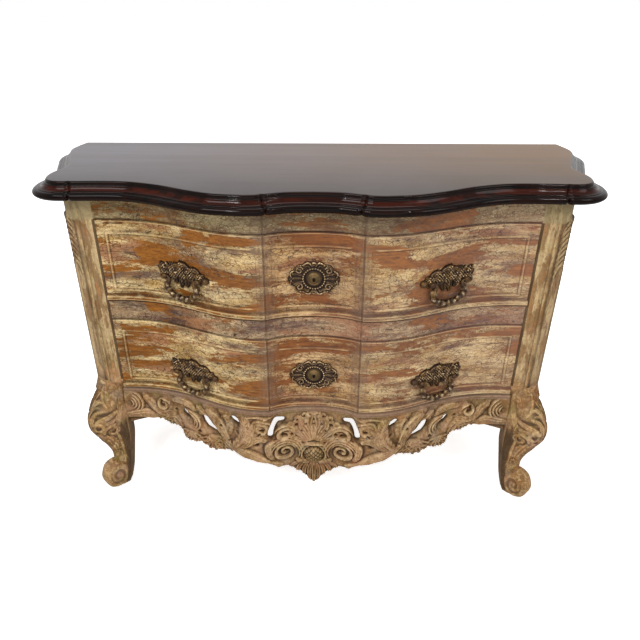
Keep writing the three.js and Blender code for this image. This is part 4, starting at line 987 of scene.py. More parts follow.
def frontMesh(name, z0, z1, look):
    end = caseSizes["postInner"] - caseSizes["reveal"]
    middles = [beak - look["borderBeak"] - look["bead"] / 2, beak + look["borderBeak"] + look["bead"] / 2,
               end - look["borderEnd"] - look["bead"] / 2, beak]
    levels = [z0 + 8, z0 + look["borderBottom"] + 5, z1 - look["borderTop"] - 5, z1 - 2]
    u = marked(-end, end, look["step"], middles + [-x for x in middles], 8, look["fine"])
    v = marked(z0, z1, look["step"], levels, 9, look["fine"])

    def out(x, z):
        return frontRelief(x, z, z0, z1, look) + grooveOut(x, railLook)
    return boardMesh(name, u, v, out, lambda x: np.full_like(x, caseSizes["frontThickness"]), 9, 2.4)


for level in ("upper", "lower"):
    low = caseSizes[level + "Base"] + caseSizes["reveal"]
    high = caseSizes[level + "Top"] - caseSizes["reveal"]
    finishPiece(level + "DrawerFront", frontMesh(level, low, high, frontLook), drawerPaint, level + "_drawer",
                [level + "_drawer_front"])
print("rails and drawer fronts made")


# Front posts and legs: one skin from the frieze to the ankle, its carving laid over it

postLook = {
    "inner": 559, "width": 89, "backY": -40, "depth": 95, "around": 150,
    "heights": ((0, 362, 2.2), (362, 630, 6.0), (632, 907, 2.0)), "blockFrom": (318, 353),
    "drawnIn": 0.2, "drawnUp": (120, 215), "hiddenShade": -0.5, "hiddenUp": (300, 345),
    # Each form has its depth, then its place round the front and up the post: from and to, or, for the
    # nick, its middle and its reach
    "panelSink": 4.0, "panelRound": ((40, 46), (80, 87)), "panelUp": ((352, 366), (843, 849)),
    "headOut": 17, "headRound": (80, 95), "headUp": (848, 864),
    "innerCut": 7.5, "innerRound": (15, 27), "innerUp": (196, 250),
    "kneeNick": 4.5, "nickRound": (44, 14), "nickUp": (265, 5),
    "rebate": 2.5, "rebateRound": (3, 5.5), "rebateUp": ((356, 362), (841, 845)),
    "soleFade": 22, "arrisFade": 5, "outerFade": (22, 4), "shadeReach": 9, "shadeDepth": 3.0,
    "block": [(0, 0.77), (0.3, 0.86), (0.36, 0.9), (0.45, 0.89), (0.52, 0.86), (0.64, 0.78), (0.78, 0.68),
              (0.86, 0.61), (0.93, 0.52), (0.98, 0.42), (1, 0.3), (1, 0)],
    "behind": [(1, 0), (0.66, 0), (0.33, 0), (0, 0), (0, 0.4), (0, 0.77)],
    "leg": [(-1, 0.25), (-0.66, 0.6), (-0.4, 0.84), (-0.1, 0.98), (0.2, 1), (0.52, 0.94), (0.75, 0.78),
            (0.9, 0.58), (0.99, 0.3), (1, 0), (0.93, -0.3), (0.6, -0.72)],
    "legBehind": [(0.6, -0.72), (0.3, -0.92), (-0.3, -1), (-1, -1), (-1, -0.4), (-1, 0.25)],
    "rows": [  # height, then how far the leg reaches inwards, outwards, backwards and forwards
        (353, 0, 1, 0, 0.9), (304, 0, 1.07, 0, 1.03), (284, 0, 1.18, 0, 1.18), (260, 0, 1.27, 0.02, 1.36),
        (237, 0, 1.32, 0.06, 1.49), (210, 0, 1.28, 0.12, 1.53), (179, 0, 1.07, 0.22, 1.46),
        (152, 0.02, 0.84, 0.34, 1.39), (125, 0.06, 0.68, 0.47, 1.36), (95, 0.08, 0.64, 0.57, 1.38),
        (68, 0.1, 0.67, 0.65, 1.42), (41, 0.12, 0.7, 0.75, 1.45), (17, 0.16, 0.72, 0.85, 1.43),
        (0, 0.2, 0.68, 0.92, 1.37)],
    "eyes": [(55, 228, 5, 9), (30, 211, 4, 7), (60, 214, 4, 6), (64, 252, 4, 5)],
}


def ringLine(front, behind, look):
    # One closed section: the carved front first, then the plain back
    line, _ = evenLine(catmull(front, 240), look["around"])
    back = np.vstack([np.linspace(a, b, 5)[1:] for a, b in zip(np.array(behind[:-1]), np.array(behind[1:]))])
    return np.vstack([line, back[:-1]])


def postCarving():
    # Places are (millimetres round the front, height)
    items = [rib([(at, 846), (at + 0.4, 640), (at - 0.2, 420), (at + 0.6, 352)], width, rise, (0.6, 0.6), 60)
             for at, width, rise in ((20.0, 5.0, 1.3), (38.5, 3.4, 4.0), (88.5, 3.8, 4.6), (101.0, 2.4, 2.0))]
    # A drop of slanting leaves down the head of the panel
    for top in np.arange(842, 842 - 8 * 15.5, -15.5):
        items += [leaf([(87, top + 4), (74, top), (60, top - 11), (51, top - 30)], 5.2, 6.4, (0.3, 0.8)),
                  leaf([(96, top - 4), (104, top - 10), (112, top - 24)], 6.5, 8.5, (0.5, 0.8))]
    # The knee: a leaf whose ribs sweep down the outside
    for points, width, rise in (
            ([(58, 292), (69, 290), (81, 272), (88, 246), (84, 222)], 4.4, 6.5),
            ([(53, 271), (66, 265), (76, 247), (76, 230), (70, 216)], 5.0, 7.0),
            ([(61, 280), (73, 276), (82, 257), (82, 230)], 3.2, 5.0),
            ([(64, 257), (70, 246), (70, 234)], 3.6, 5.0),
            ([(66, 298), (78, 288), (88, 268), (92, 244)], 3.2, 5.0),
            ([(92, 316), (94, 294), (97, 268), (99, 240), (96, 214)], 4.6, 7.5),
            ([(84, 330), (104, 306), (108, 270), (108, 236), (104, 208)], 4.6, 6.5),
            ([(112, 330), (119, 296), (120, 256), (114, 222)], 4.6, 5.5),
            ([(130, 340), (135, 304), (134, 262), (124, 226)], 4.8, 5.0)):
        items.append(rib(points, width, rise, (0.5, 0.3), 34))
    for k in range(6):
        line = [(60 + 9 * k, 328 - 2 * k), (76 + 8 * k, 306 - 3 * k), (85 + 7 * k, 272 - 2 * k),
                (84 + 6 * k, 238)]
        items.append(rib(line, 2.4, 4.2, (0.4, 0.4), 30))
    # Then the broad plain front, its lower fold, the two volutes and the leaves down the ankle
    return items + [
        rib([(38.5, 352), (50, 345), (66, 343), (80, 347), (88.5, 356)], 3.6, 4.4, (1, 1)),
        leaf([(64, 706), (60, 684), (64, 664), (60, 644)], 4.6, 4.4, (0.8, 0.2)),
        leaf([(86, 290), (92, 304), (94, 318)], 5.2, 7.5, (0.8, 0.15)),
        rib([(44, 348), (40, 316), (38, 290)], 21, 4.2, (0.6, 0.5)),
        rib([(62, 336), (63, 312), (57, 294), (44, 280)], 4.5, 3.4, (0.5, 0.4)),
        rib([(20, 344), (17, 306), (16, 270), (18, 240), (20, 214)], 6.5, 3.2, (0.5, 0.4)),
        leaf([(24, 264), (36, 256), (48, 250), (60, 244)], 9.5, 7.0, (0.6, 0.6)),
        leaf([(22, 246), (36, 238), (50, 240)], 7.0, 5.5, (0.6, 0.5)),
        rib([(24, 230), (34, 228), (44, 222), (48, 208)], 5.0, 5.0, (0.6, 0.5)),
        curl((57, 226), 13, 7, 0.6, 0.8, 5.6, 6.0, (0.8, 0.6), "leaf"),
        curl((30, 211), 11, 5, 2.0, 0.9, 5.2, 5.5, (0.8, 0.6), "leaf"),
        *bundle([(76, 214), (74, 198), (70, 182), (64, 164)], 3, 7.0, 3.6, 5.0, (0.5, 0.3)),
        rib([(92, 206), (88, 186), (80, 168), (76, 150)], 4.4, 5.0, (0.5, 0.3)),
        *spray([(46, 200), (42, 176), (40, 148), (42, 120)], 4.6, 5.5, 6, 0.8, 17),
        rib([(24, 204), (25, 176), (26, 148), (24, 120), (18, 96)], 3.6, 4.6, (0.5, 0.3)),
        leaf([(70, 148), (68, 126), (66, 104)], 5.5, 4.5, (0.6, 0.3))]


def postRings(z, look):
    # The bare sections: a block above, a rounder leg below, and a blend between them
    block = ringLine(look["block"], look["behind"], look)
    leg = ringLine(look["leg"], look["legBehind"], look)
    heights, *columns = np.array(look["rows"]).T
    inner, outer, back, front = (smoothTable(z, heights, column)[:, None] for column in columns)
    wide = (inner + outer) / 2 + leg[:, 0] * (outer - inner) / 2
    deep = (back + front) / 2 + leg[:, 1] * (front - back) / 2
    # The corner inside the leg is drawn in under the apron
    corner = np.clip(-leg[:, 0], 0, 1) * np.clip(-leg[:, 1], 0, 1)
    wide = wide + look["drawnIn"] * corner * smoothStep(z, *look["drawnUp"])[:, None]
    mix = smoothStep(z, *look["blockFrom"])[:, None]
    rings = np.zeros((len(z), len(block), 3))
    rings[:, :, 0] = look["inner"] + (wide * (1 - mix) + block[:, 0] * mix) * look["width"]
    rings[:, :, 1] = look["backY"] - (deep * (1 - mix) + block[:, 1] * mix) * look["depth"]
    rings[:, :, 2] = z[:, None]
    front = block[:look["around"]] * [look["width"], look["depth"]]
    return rings, np.concatenate([[0], np.cumsum(np.hypot(*np.diff(front, axis=0).T))])


def postMesh(look):
    z = np.concatenate([np.arange(*run) for run in look["heights"]])
    z[-1] = caseSizes["top"]
    rings, s = postRings(z, look)
    ss, zz = s[:, None], z[None, :]
    # A sunk panel, a block that juts out at the head, and an inner side cut back to an arris
    ground = -look["panelSink"] * window(ss, *look["panelRound"]) * window(zz, *look["panelUp"])
    ground = ground + look["headOut"] * smoothStep(ss, *look["headRound"]) * smoothStep(zz, *look["headUp"])
    innerCut = (1 - smoothStep(ss, *look["innerRound"])) * (1 - smoothStep(zz, *look["innerUp"]))
    ground = ground - look["innerCut"] * innerCut
    ground = ground - look["kneeNick"] * ridgeAt(ss, *look["nickRound"]) * ridgeAt(zz, *look["nickUp"])
    relief = pit(s, z, carve(s, z, postCarving(), ground), look["eyes"])
    # The relief fades out at the sole and at both ends of the front
    outerFade = [s[-1] - back for back in look["outerFade"]]
    relief = relief * smoothStep(zz, 0, look["soleFade"]) * window(ss, (0, look["arrisFade"]), outerFade)
    # A rebate where the drawers close against the post, darkened with painted shadow
    rebate = (1 - smoothStep(ss, *look["rebateRound"])) * window(zz, *look["rebateUp"])
    relief = relief - look["rebate"] * rebate
    along = np.roll(rings, -1, axis=1) - np.roll(rings, 1, axis=1)
    way = np.stack([-along[:, :, 1], along[:, :, 0]], axis=2)
    way /= np.maximum(np.linalg.norm(way, axis=2), 1e-6)[:, :, None]
    n = look["around"]
    rings[:, :n, :2] += way[:, :n] * relief.T[:, :, None]
    # Painted shade: darker in the carving's hollows, on the cut-back inner side, in the rebate, and on the
    # back of the leg below the apron
    shade = np.zeros(rings.shape[:2])
    worked = hollows(relief, look["shadeReach"], look["shadeDepth"])
    shade[:, :n] = np.clip(worked - 0.8 * innerCut - rebate, -1, 1).T
    shade[:, n:] = look["hiddenShade"] * (1 - smoothStep(z, *look["hiddenUp"]))[:, None]
    return tubeMesh("post", rings, shade, 75)


toeLook = {
    "centre": (608.84, -173.0, 53.0), "reach": 40, "rise": 49.5, "halfThickness": 22.5, "around": 120,
    "turns": 2.3, "ridge": 2.25, "crisp": 0.6, "sunk": 0.4, "faceRound": ((0.12, 0.22), (0.56, 0.7)),
    "lobes": 7, "lobeRise": 0.02, "lobesFrom": 0.9,
    "inside": [(0.02, 1.16), (0.06, 1.16), (0.1, 1.14)],
    "rim": [(0.66, 1.02), (0.73, 0.97), (0.8, 0.9), (0.87, 0.79), (0.93, 0.65), (0.97, 0.48), (0.99, 0.3),
            (1.0, 0.14), (1.0, 0)],
}


def toeMesh(look):
    # A scroll toe: a thick roll with a spiral worked into both of its faces
    sideways = np.array([-1, -1, 0]) / math.sqrt(2)
    outward = np.array([1, -1, 0]) / math.sqrt(2)
    half = look["inside"] + [(r, 1.12 - 0.12 * r) for r in np.linspace(0.13, 0.6, 24)] + look["rim"]
    full = half + [(r, -t) for r, t in half[-2::-1]]
    angle = np.linspace(0, 2 * pi, look["around"], endpoint=False)[:, None]
    rings, shade = [], []
    for r, t in full:
        side = 1 if t > 0 else -1
        wave = np.cos(2 * pi * r * look["turns"] - angle * side)
        face = window(r, *look["faceRound"]) if abs(t) > 0.7 else 0.0
        push = look["ridge"] * face * (np.abs(wave)**look["crisp"] * np.sign(wave) - look["sunk"])
        size = r + look["lobeRise"] * np.cos(look["lobes"] * angle) * (r > look["lobesFrom"])
        offset = (t * look["halfThickness"] + side * push) * (t != 0)
        rings.append(look["centre"] + np.cos(angle) * size * look["reach"] * outward
                     + np.sin(angle) * size * look["rise"] * np.array([0, 0, 1]) + offset * sideways)
        shade.append(0.3 * push / look["ridge"] + (0.2 if r > 0.62 else 0))
    rings = np.array(rings)
    rings[:, :, 2] = np.maximum(rings[:, :, 2], 0.0)
    return tubeMesh("toe", rings, np.array(shade), 60)


rightPost = joinedMesh("frontPostRight", [postMesh(postLook), toeMesh(toeLook)])
for side, mesh in (("Right", rightPost), ("Left", mirroredMesh(rightPost, "frontPostLeft"))):
    finishPiece("frontPost" + side, mesh, carvedPost, "case", ["front_post_" + side.lower()])
print("front posts made")


# Pierced and shaped sheets: the cells outside a shape are left out and its rim is drawn onto the line

def sampled(u, v, values):
    # Heights looked up between the lines of a regular grid
    def look(x, y):
        fx = np.clip((x - u[0]) / (u[-1] - u[0]) * (len(u) - 1), 0, len(u) - 1.001)
        fy = np.clip((y - v[0]) / (v[-1] - v[0]) * (len(v) - 1), 0, len(v) - 1.001)
        i, j = fx.astype(int), fy.astype(int)
        a, b = fx - i, fy - j
        return ((values[i, j] * (1 - a) + values[i + 1, j] * a) * (1 - b)
                + (values[i, j + 1] * (1 - a) + values[i + 1, j + 1] * a) * b)
    return look


def cutSheet(name, wide, up, inside, front, back, cavity, span=None):
    # wide, up: grids of places; inside(a, b) is above 0 where there is material; a span of the width
    # gives one part of a longer sheet, shaded as if it went on
    a, b = wide.copy(), up.copy()
    middle = tuple((g[:-1, :-1] + g[1:, :-1] + g[:-1, 1:] + g[1:, 1:]) / 4 for g in (a, b))
    keep = inside(*middle) > 0
    kept = np.zeros(a.shape, int)
    whole = np.zeros(a.shape, int)
    for di in (0, 1):
        for dj in (0, 1):
            rows, columns = slice(di, a.shape[0] - 1 + di), slice(dj, a.shape[1] - 1 + dj)
            kept[rows, columns] += keep
            whole[rows, columns] += 1
    border = (kept > 0) & (kept < whole)
    cell = min(np.abs(np.diff(a, axis=0)).mean(), np.abs(np.diff(b, axis=1)).mean())
    e = cell / 2
    for _ in range(3):
        p, q = a[border], b[border]
        g = inside(p, q)
        ga = (inside(p + e, q) - inside(p - e, q)) / (2 * e)
        gb = (inside(p, q + e) - inside(p, q - e)) / (2 * e)
        size = np.maximum(ga**2 + gb**2, 1e-4)
        step = np.clip(g / size, -0.45 * cell, 0.45 * cell)
        length = np.sqrt(size)
        a[border] -= step * ga / length * np.minimum(length, 1)
        b[border] -= step * gb / length * np.minimum(length, 1)
    pf, pb = front(a, b), back(a, b)
    columns = a.shape[1]
    total = a.size
    if span is not None:
        keep = keep & (middle[0] >= span[0]) & (middle[0] < span[1])
    i, j = np.nonzero(keep)
    k = i * columns + j
    quads = [np.stack([k, k + columns, k + columns + 1, k + 1], axis=1)]
    quads.append(quads[0][:, ::-1] + total)
    padded = np.pad(keep, 1)
    for di, dj, first, second in ((-1, 0, 1, 0), (1, 0, columns, columns + 1), (0, -1, 0, columns),
                                  (0, 1, columns + 1, 1)):
        rim = ~padded[i + 1 + di, j + 1 + dj]
        s, t = k[rim] + first, k[rim] + second
        quads.append(np.stack([t, s, s + total, t + total], axis=1))
    quads = np.concatenate(quads)
    points = np.concatenate([pf.reshape(-1, 3), pb.reshape(-1, 3)])
    shade = np.concatenate([cavity(a, b).ravel(), np.zeros(total)])
    used, where = np.unique(quads.ravel(), return_inverse=True)
    normals = None
    if span is not None:
        normal = np.cross(np.gradient(pf, axis=0), np.gradient(pf, axis=1))
        normal /= np.maximum(np.linalg.norm(normal, axis=2), 1e-9)[:, :, None]
        normals = np.concatenate([normal.reshape(-1, 3), -normal.reshape(-1, 3)])[used]
    return makeMesh(name, points[used], where.reshape(-1, 4), (), shade[used], 50, normals)


# The carved and pierced apron, in millimetres from the middle and below the drawer

apronLook = {
    "drop": 277, "squash": 0.972, "base": 8.0, "thickness": 26, "proud": 10, "topFade": (4, 30),
    "cartouche": 15.0, "cartoucheAt": 140, "cartoucheReach": (78, 92), "foldedCarving": 90, "foldedEyes": 60,
    "columnStep": 1.55, "rows": 146, "grid": 1.25, "rimRound": 6, "thin": 13.0, "thinReach": 16,
    "ball": (156, 27), "ballHigh": 13, "ballSeat": 4, "lattice": 13, "latticeDeep": 7.5, "latticeHalf": 0.6,
    "ballRing": (1.14, 0.09), "ringDeep": 6, "neckAt": (124, 4), "neckHalf": 26, "neckDeep": 6,
    "toolRipple": 0.45, "holeDip": 7, "legCut": 4, "legCutFrom": (462, 476), "soften": 5,
    "shadeReach": 8, "shadeDepth": 3.6, "shadeRise": (3, 18),
    "edge": [(0, 1), (0.022, 0.964), (0.045, 0.897), (0.07, 0.846), (0.098, 0.813), (0.118, 0.769),
             (0.134, 0.744), (0.157, 0.741), (0.179, 0.729), (0.2, 0.681), (0.216, 0.65), (0.25, 0.632),
             (0.29, 0.621), (0.325, 0.599), (0.358, 0.584), (0.39, 0.549), (0.408, 0.538), (0.425, 0.552),
             (0.447, 0.57), (0.468, 0.566),
             (0.488, 0.574), (0.51, 0.609), (0.533, 0.621), (0.55, 0.619), (0.565, 0.61), (0.585, 0.578),
             (0.603, 0.56), (0.625, 0.57), (0.646, 0.577), (0.668, 0.58), (0.685, 0.563), (0.7, 0.486),
             (0.715, 0.436), (0.74, 0.426), (0.769, 0.416), (0.8, 0.383), (0.826, 0.367), (0.88, 0.394),
             (0.93, 0.425), (1, 0.468)],
    "holes": [[(90, 39, 7.0), (104, 37, 8.5), (112, 48, 7.0), (117, 60, 6.5), (121, 72, 7), (123, 84, 7.5)],
              [(228, 35, 4.5), (221, 41, 5.5), (213, 47, 4.5)],
              [(313, 66, 8.0), (309, 77, 9.0), (302, 88, 8.5), (289, 96, 5.5), (276, 101, 3.5)],
              [(377, 62, 5.0), (370, 69, 6.5), (362, 77, 5.0)],
              [(448, 32, 3.4), (444, 36, 3.8)]],
    "eyes": [(0, 34, 3, 9), (0, 50, 3, 8), (50, 57, 4.5, 11), (23, 52, 3, 8), (81, 86, 5, 10),
             (80, 147, 6, 10), (146, 57, 5, 9), (164, 116, 8, 11), (62, 84, 4, 9), (34, 74, 3, 7),
             (262, 60, 4, 8), (334, 112, 6, 7), (404, 60, 4, 6), (240, 108, 5, 8), (214, 74, 4, 7),
             (150, 70, 4, 7)],
    "swells": [(207, 103, 73, 7), (347, 120, 56, 8), (440, 50, 60, 5), (540, 60, 50, 4)],
}


def holeDistance(x, d, look):
    # Above 0 outside every piercing
    best = np.full(np.shape(x), 1e3)
    for chain in look["holes"]:
        for (ax, ad, ar), (bx, bd, br) in zip(chain[:-1], chain[1:]):
            wx, wd = bx - ax, bd - ad
            t = np.clip(((np.abs(x) - ax) * wx + (d - ad) * wd) / (wx * wx + wd * wd), 0, 1)
            off = np.hypot(np.abs(x) - ax - t * wx, d - ad - t * wd) - (ar + (br - ar) * t)
            best = np.minimum(best, off)
    return best


def apronEdge(x, look):
    keys = np.array(look["edge"])
    return smoothTable(np.abs(x) / caseSizes["postInner"], keys[:, 0], keys[:, 1]) * look["drop"]


def apronCarving(look):
    items = [rib([(-600, d), (600, d)], width, rise, (1, 1), 30) for d, width, rise in ((4.5, 3.4, 2.6),
                                                                                        (11, 2.6, 1.6))]
    # The palmette over the middle
    for points, width, rise in (
            ([(0, 100), (-3, 76), (4, 52), (-2, 20)], 11, 10),
            ([(6, 102), (10, 76), (20, 52), (16, 26)], 11, 10),
            ([(10, 104), (22, 84), (36, 62), (34, 38)], 11, 9.5),
            ([(14, 106), (34, 94), (50, 76), (54, 56)], 10, 9),
            ([(20, 112), (44, 106), (60, 96), (68, 80)], 9, 8.5)):
        items.append(leaf(points, width, rise, (0.5, 0.7), 30, 1.0))
    for at, size, turn in (((27, 26), 11, 0.4), ((47, 38), 11, 0.9), ((66, 58), 11, 1.4), ((8, 20), 9, -0.3)):
        items.append(curl(at, size, 4, turn, 0.9, 5.4, 9.0, (0.8, 0.6), "leaf"))
    # The volutes beside it, and the long ribs that run out of the lower one
    items += [curl((81, 88), 27, 5, math.radians(160), 1.35, 6.2, 11, (0.5, 0.7), count=60),
              curl((81, 88), 34, 30, math.radians(190), 0.42, 3.6, 8, (0.4, 0.4), count=40),
              curl((80, 150), 34, 7, math.radians(215), 1.6, 5.4, 13, (0.6, 0.7), count=80)]
    for radius, width, rise in ((41, 3.4, 11), (48, 3.4, 9.5), (55, 3.2, 8)):
        items.append(curl((80, 150), radius, radius - 2, math.radians(150), 0.62, width, rise, (0.3, 0.3),
                          count=60))
    items += [
        *bundle([(92, 198), (130, 184), (176, 160), (214, 142), (244, 124)], 4, 8.5, 5.0, 8.0, (0.5, 0.2),
                0.5),
        *bundle([(112, 104), (128, 122), (126, 148), (112, 168)], 3, 7.0, 4.0, 7.5, (0.3, 0.4)),
        rib([(60, 118), (84, 126), (104, 122), (118, 104)], 5.0, 8, (0.3, 0.3)),
        # Leaves between the piercings
        *spray([(196, 104), (178, 78), (160, 54), (138, 34)], 6, 8, 7, 0.9, 22),
        *spray([(226, 130), (198, 96), (190, 62), (200, 28)], 6, 8, 7, 0.85, 24),
        curl((146, 58), 22, 6, -0.6, -1.15, 6.5, 10, (0.5, 0.6)),
        curl((146, 58), 30, 28, -0.2, -0.55, 4.0, 7.5, (0.4, 0.3)),
        *bundle([(134, 102), (150, 92), (166, 98), (176, 118)], 3, 7.0, 4.4, 8.0, (0.4, 0.3)),
        *bundle([(184, 60), (176, 84), (184, 108), (206, 128)], 3, 7.5, 4.6, 8.5, (0.4, 0.3)),
        rib([(130, 92), (142, 78), (152, 88), (148, 104)], 5.0, 7.5, (0.4, 0.3), shape="hollow"),
        rib([(112, 16), (136, 22), (160, 20), (186, 26)], 4.6, 5.5, (0.3, 0.3)),
        *bundle([(306, 24), (278, 46), (258, 84), (242, 126)], 4, 8.5, 5.0, 8.0, (0.3, 0.25), 1),
        *spray([(336, 28), (318, 46), (300, 56)], 5, 7, 4, 0.9, 18),
        *spray([(252, 26), (244, 52), (246, 84)], 5, 7.5, 6, 0.9, 22),
        # The long scroll that crosses to the leg
        *bundle([(412, 26), (388, 22), (362, 30), (344, 48)], 4, 6.0, 3.4, 5.5, (0.3, 0.3)),
        curl((441, 45), 20, 4, math.radians(200), 1.3, 5.4, 9.5, (0.5, 0.7), count=60),
        *spray([(476, 60), (452, 78), (424, 86), (398, 108)], 6, 7, 7, 0.85, 24),
        *bundle([(466, 90), (500, 80), (532, 84), (566, 92)], 2, 9, 4.6, 5.5, (0.5, 0.5)),
        *bundle([(452, 106), (486, 98), (522, 98), (562, 102)], 3, 5.5, 2.8, 3.4, (0.3, 0.5)),
        *spray([(500, 24), (482, 44), (474, 66)], 5, 6.5, 5, 0.85, 18),
        # The ring round the ball, and the fan that hangs from it
        curl((0, 160), 34, 34, math.radians(125), 0.80, 3.8, 9.0, (0.7, 0.7), count=60),
        rib([(0, 118), (18, 120), (32, 128), (40, 142)], 5.6, 12.5, (1, 0.3), 24),
        *bundle([(14, 198), (34, 190), (50, 178)], 3, 6.5, 4.0, 7.0, (0.4, 0.4))]
    for points, width in (([(0, 206), (0, 240), (0, 283)], 6.5), ([(9, 206), (14, 236), (12, 276)], 6.0),
                          ([(19, 203), (28, 228), (28, 258)], 6.0), ([(30, 198), (43, 218), (48, 240)], 6.5),
                          ([(40, 190), (60, 206), (70, 220)], 6.5)):
        items.append(rib(points, width, 8.0, (0.5, 0.6), 20, 0.5, "hollow"))
    # Shell lobes along the lower edge
    for x, d, turn, count, reach in ((300, 124, 95, 6, 44), (362, 122, 80, 6, 42), (420, 82, 65, 5, 44),
                                     (262, 118, 70, 4, 38)):
        for way in np.radians(np.linspace(turn - 62, turn + 62, count)):
            half = (x + 0.5 * reach * math.cos(way + 0.14), d + 0.5 * reach * math.sin(way + 0.14))
            tip = (x + reach * math.cos(way), d + reach * math.sin(way))
            items.append(rib([(x, d), half, tip], 8.4, 10.0, (0.3, 0.8), 14, shape="hollow"))
    # The C scrolls round the flank piercing and beside the leg
    for radius, width, rise in ((36, 4.6, 8.0), (27, 4.2, 8.5), (19, 3.6, 7.0)):
        items.append(curl((364, 88), radius, radius - 3, math.radians(285), -0.40, width, rise, (0.3, 0.3)))
    for radius, width in ((13, 3.6), (22, 3.8), (31, 4.0), (40, 3.8)):
        items.append(curl((545, 50), radius, radius - 2, math.radians(250), -0.36, width, 6.5, (0.35, 0.35)))
    return [dict(item, line=item["line"] * [1, look["squash"]]) for item in items]


def apronMasses():
    # The broad forms under the ribs and leaves
    rows = [([(308, 18), (276, 48), (256, 88), (242, 132)], 20, 10),
            ([(146, 40), (150, 70), (140, 96)], 26, 7),
            ([(180, 50), (180, 84), (200, 120)], 18, 7), ([(200, 108), (168, 64), (134, 28)], 18, 9),
            ([(228, 134), (204, 92), (198, 30)], 17, 8), ([(284, 146), (296, 132), (304, 120)], 27, 9),
            ([(352, 150), (366, 136), (372, 122)], 27, 9), ([(408, 104), (420, 92), (430, 84)], 24, 8),
            ([(480, 52), (444, 78), (400, 108)], 17, 9), ([(462, 96), (510, 88), (570, 94)], 15, 6),
            ([(96, 196), (176, 162), (246, 124)], 22, 8), ([(116, 104), (126, 128), (112, 170)], 15, 7),
            ([(0, 104), (0, 70), (0, 36)], 52, 5), ([(412, 26), (380, 22), (344, 46)], 14, 6),
            ([(262, 20), (240, 34), (236, 70)], 15, 7), ([(150, 94), (176, 106), (210, 128)], 13, 6),
            ([(500, 22), (484, 40), (474, 62)], 14, 6), ([(340, 96), (328, 112), (312, 122)], 12, 6)]
    rings = [((80, 150), 40, 18, 8), ((81, 88), 24, 13, 7), ((364, 88), 27, 14, 7), ((441, 45), 15, 11, 6),
             ((545, 50), 26, 17, 6)]
    return ([rib(points, width, rise, (0.6, 0.5), 24) for points, width, rise in rows]
            + [curl(centre, size, size, 0, 1, width, rise, (1, 1)) for centre, size, width, rise in rings])


def swell(off):
    # 1 in the middle of a swell, 0 at its edge and beyond
    return (1 + np.cos(pi * np.clip(off, 0, 1))) / 2


def apronHeights(look):
    # Heights over a regular grid of one half, which is then folded out to both
    x = np.arange(-60, 566, look["grid"])
    d = np.arange(-3, 291, look["grid"])
    xx, dd = np.meshgrid(x, d, indexing="ij")
    wide, tall = look["cartoucheReach"]
    ground = look["cartouche"] * swell(np.hypot(xx / wide, (dd - look["cartoucheAt"]) / tall))
    for at, level, reach, rise in look["swells"]:
        ground = ground + rise * swell(np.hypot((xx - at) / reach, (dd - level) / reach))
    ground = look["base"] + ground * smoothStep(dd, *look["topFade"])
    items = apronCarving(look)
    folded = [dict(item, line=item["line"] * [-1, 1]) for item in items
              if item["line"][:, 0].min() < look["foldedCarving"]]
    masses = blurred(carve(x, d, apronMasses(), ground), look["soften"])
    height = carve(x, d, items + folded, masses)
    # The ball with its lattice, in a dark ring
    level, radius = look["ball"]
    ball = np.hypot(xx, dd - level) / radius
    lattice = np.minimum(*(np.abs(np.sin(way * pi / look["lattice"])) for way in (xx + dd, xx - dd)))
    cut = np.clip(1 - lattice / look["latticeHalf"], 0, 1)
    dome = look["ballHigh"] * np.sqrt(np.clip(1 - ball**2, 0, 1)) - look["latticeDeep"] * cut
    height = np.where(ball < 1, ground + look["ballSeat"] + dome, height)
    height = height - look["ringDeep"] * ridgeAt(ball, *look["ballRing"])
    neck = ridgeAt(dd, *look["neckAt"]) * np.exp(-(xx / look["neckHalf"])**4)
    height = height - look["neckDeep"] * neck
    eyes = look["eyes"] + [(-ex, *rest) for ex, *rest in look["eyes"] if 0 < ex < look["foldedEyes"]]
    height = pit(x, d, height, eyes)
    ripple = np.sin(xx * 0.9 + 3 * np.sin(dd * 0.21)) * np.sin(dd * 0.7 + 2 * np.sin(xx * 0.17))
    near = 1 - np.clip(holeDistance(xx, dd, look) / look["thinReach"], 0, 1)
    height = height - look["holeDip"] * near**2
    # Under its lowest rib, which slopes a little, the apron is cut back towards the leg
    underRib = dd - 103 - 0.06 * (xx - 480)
    height = height - look["legCut"] * smoothStep(underRib, -1, 4) * smoothStep(xx, *look["legCutFrom"])
    # The ball reads by its lattice alone: its shading is darker over the whole ball, with painted shade
    # deepest in the lattice cuts
    masses = np.where(ball < 1.05, height + 2 + 10 * cut, masses)
    height = height + look["toolRipple"] * ripple
    # Painted shade in the hollows, and painted highlights where ribs stand above the masses
    least, most = look["shadeRise"]
    worked = hollows(height, look["shadeReach"], look["shadeDepth"]) + (height - masses - least) / most
    worked = np.clip(worked, -1, 1)
    return sampled(x, d, height), sampled(x, d, worked)


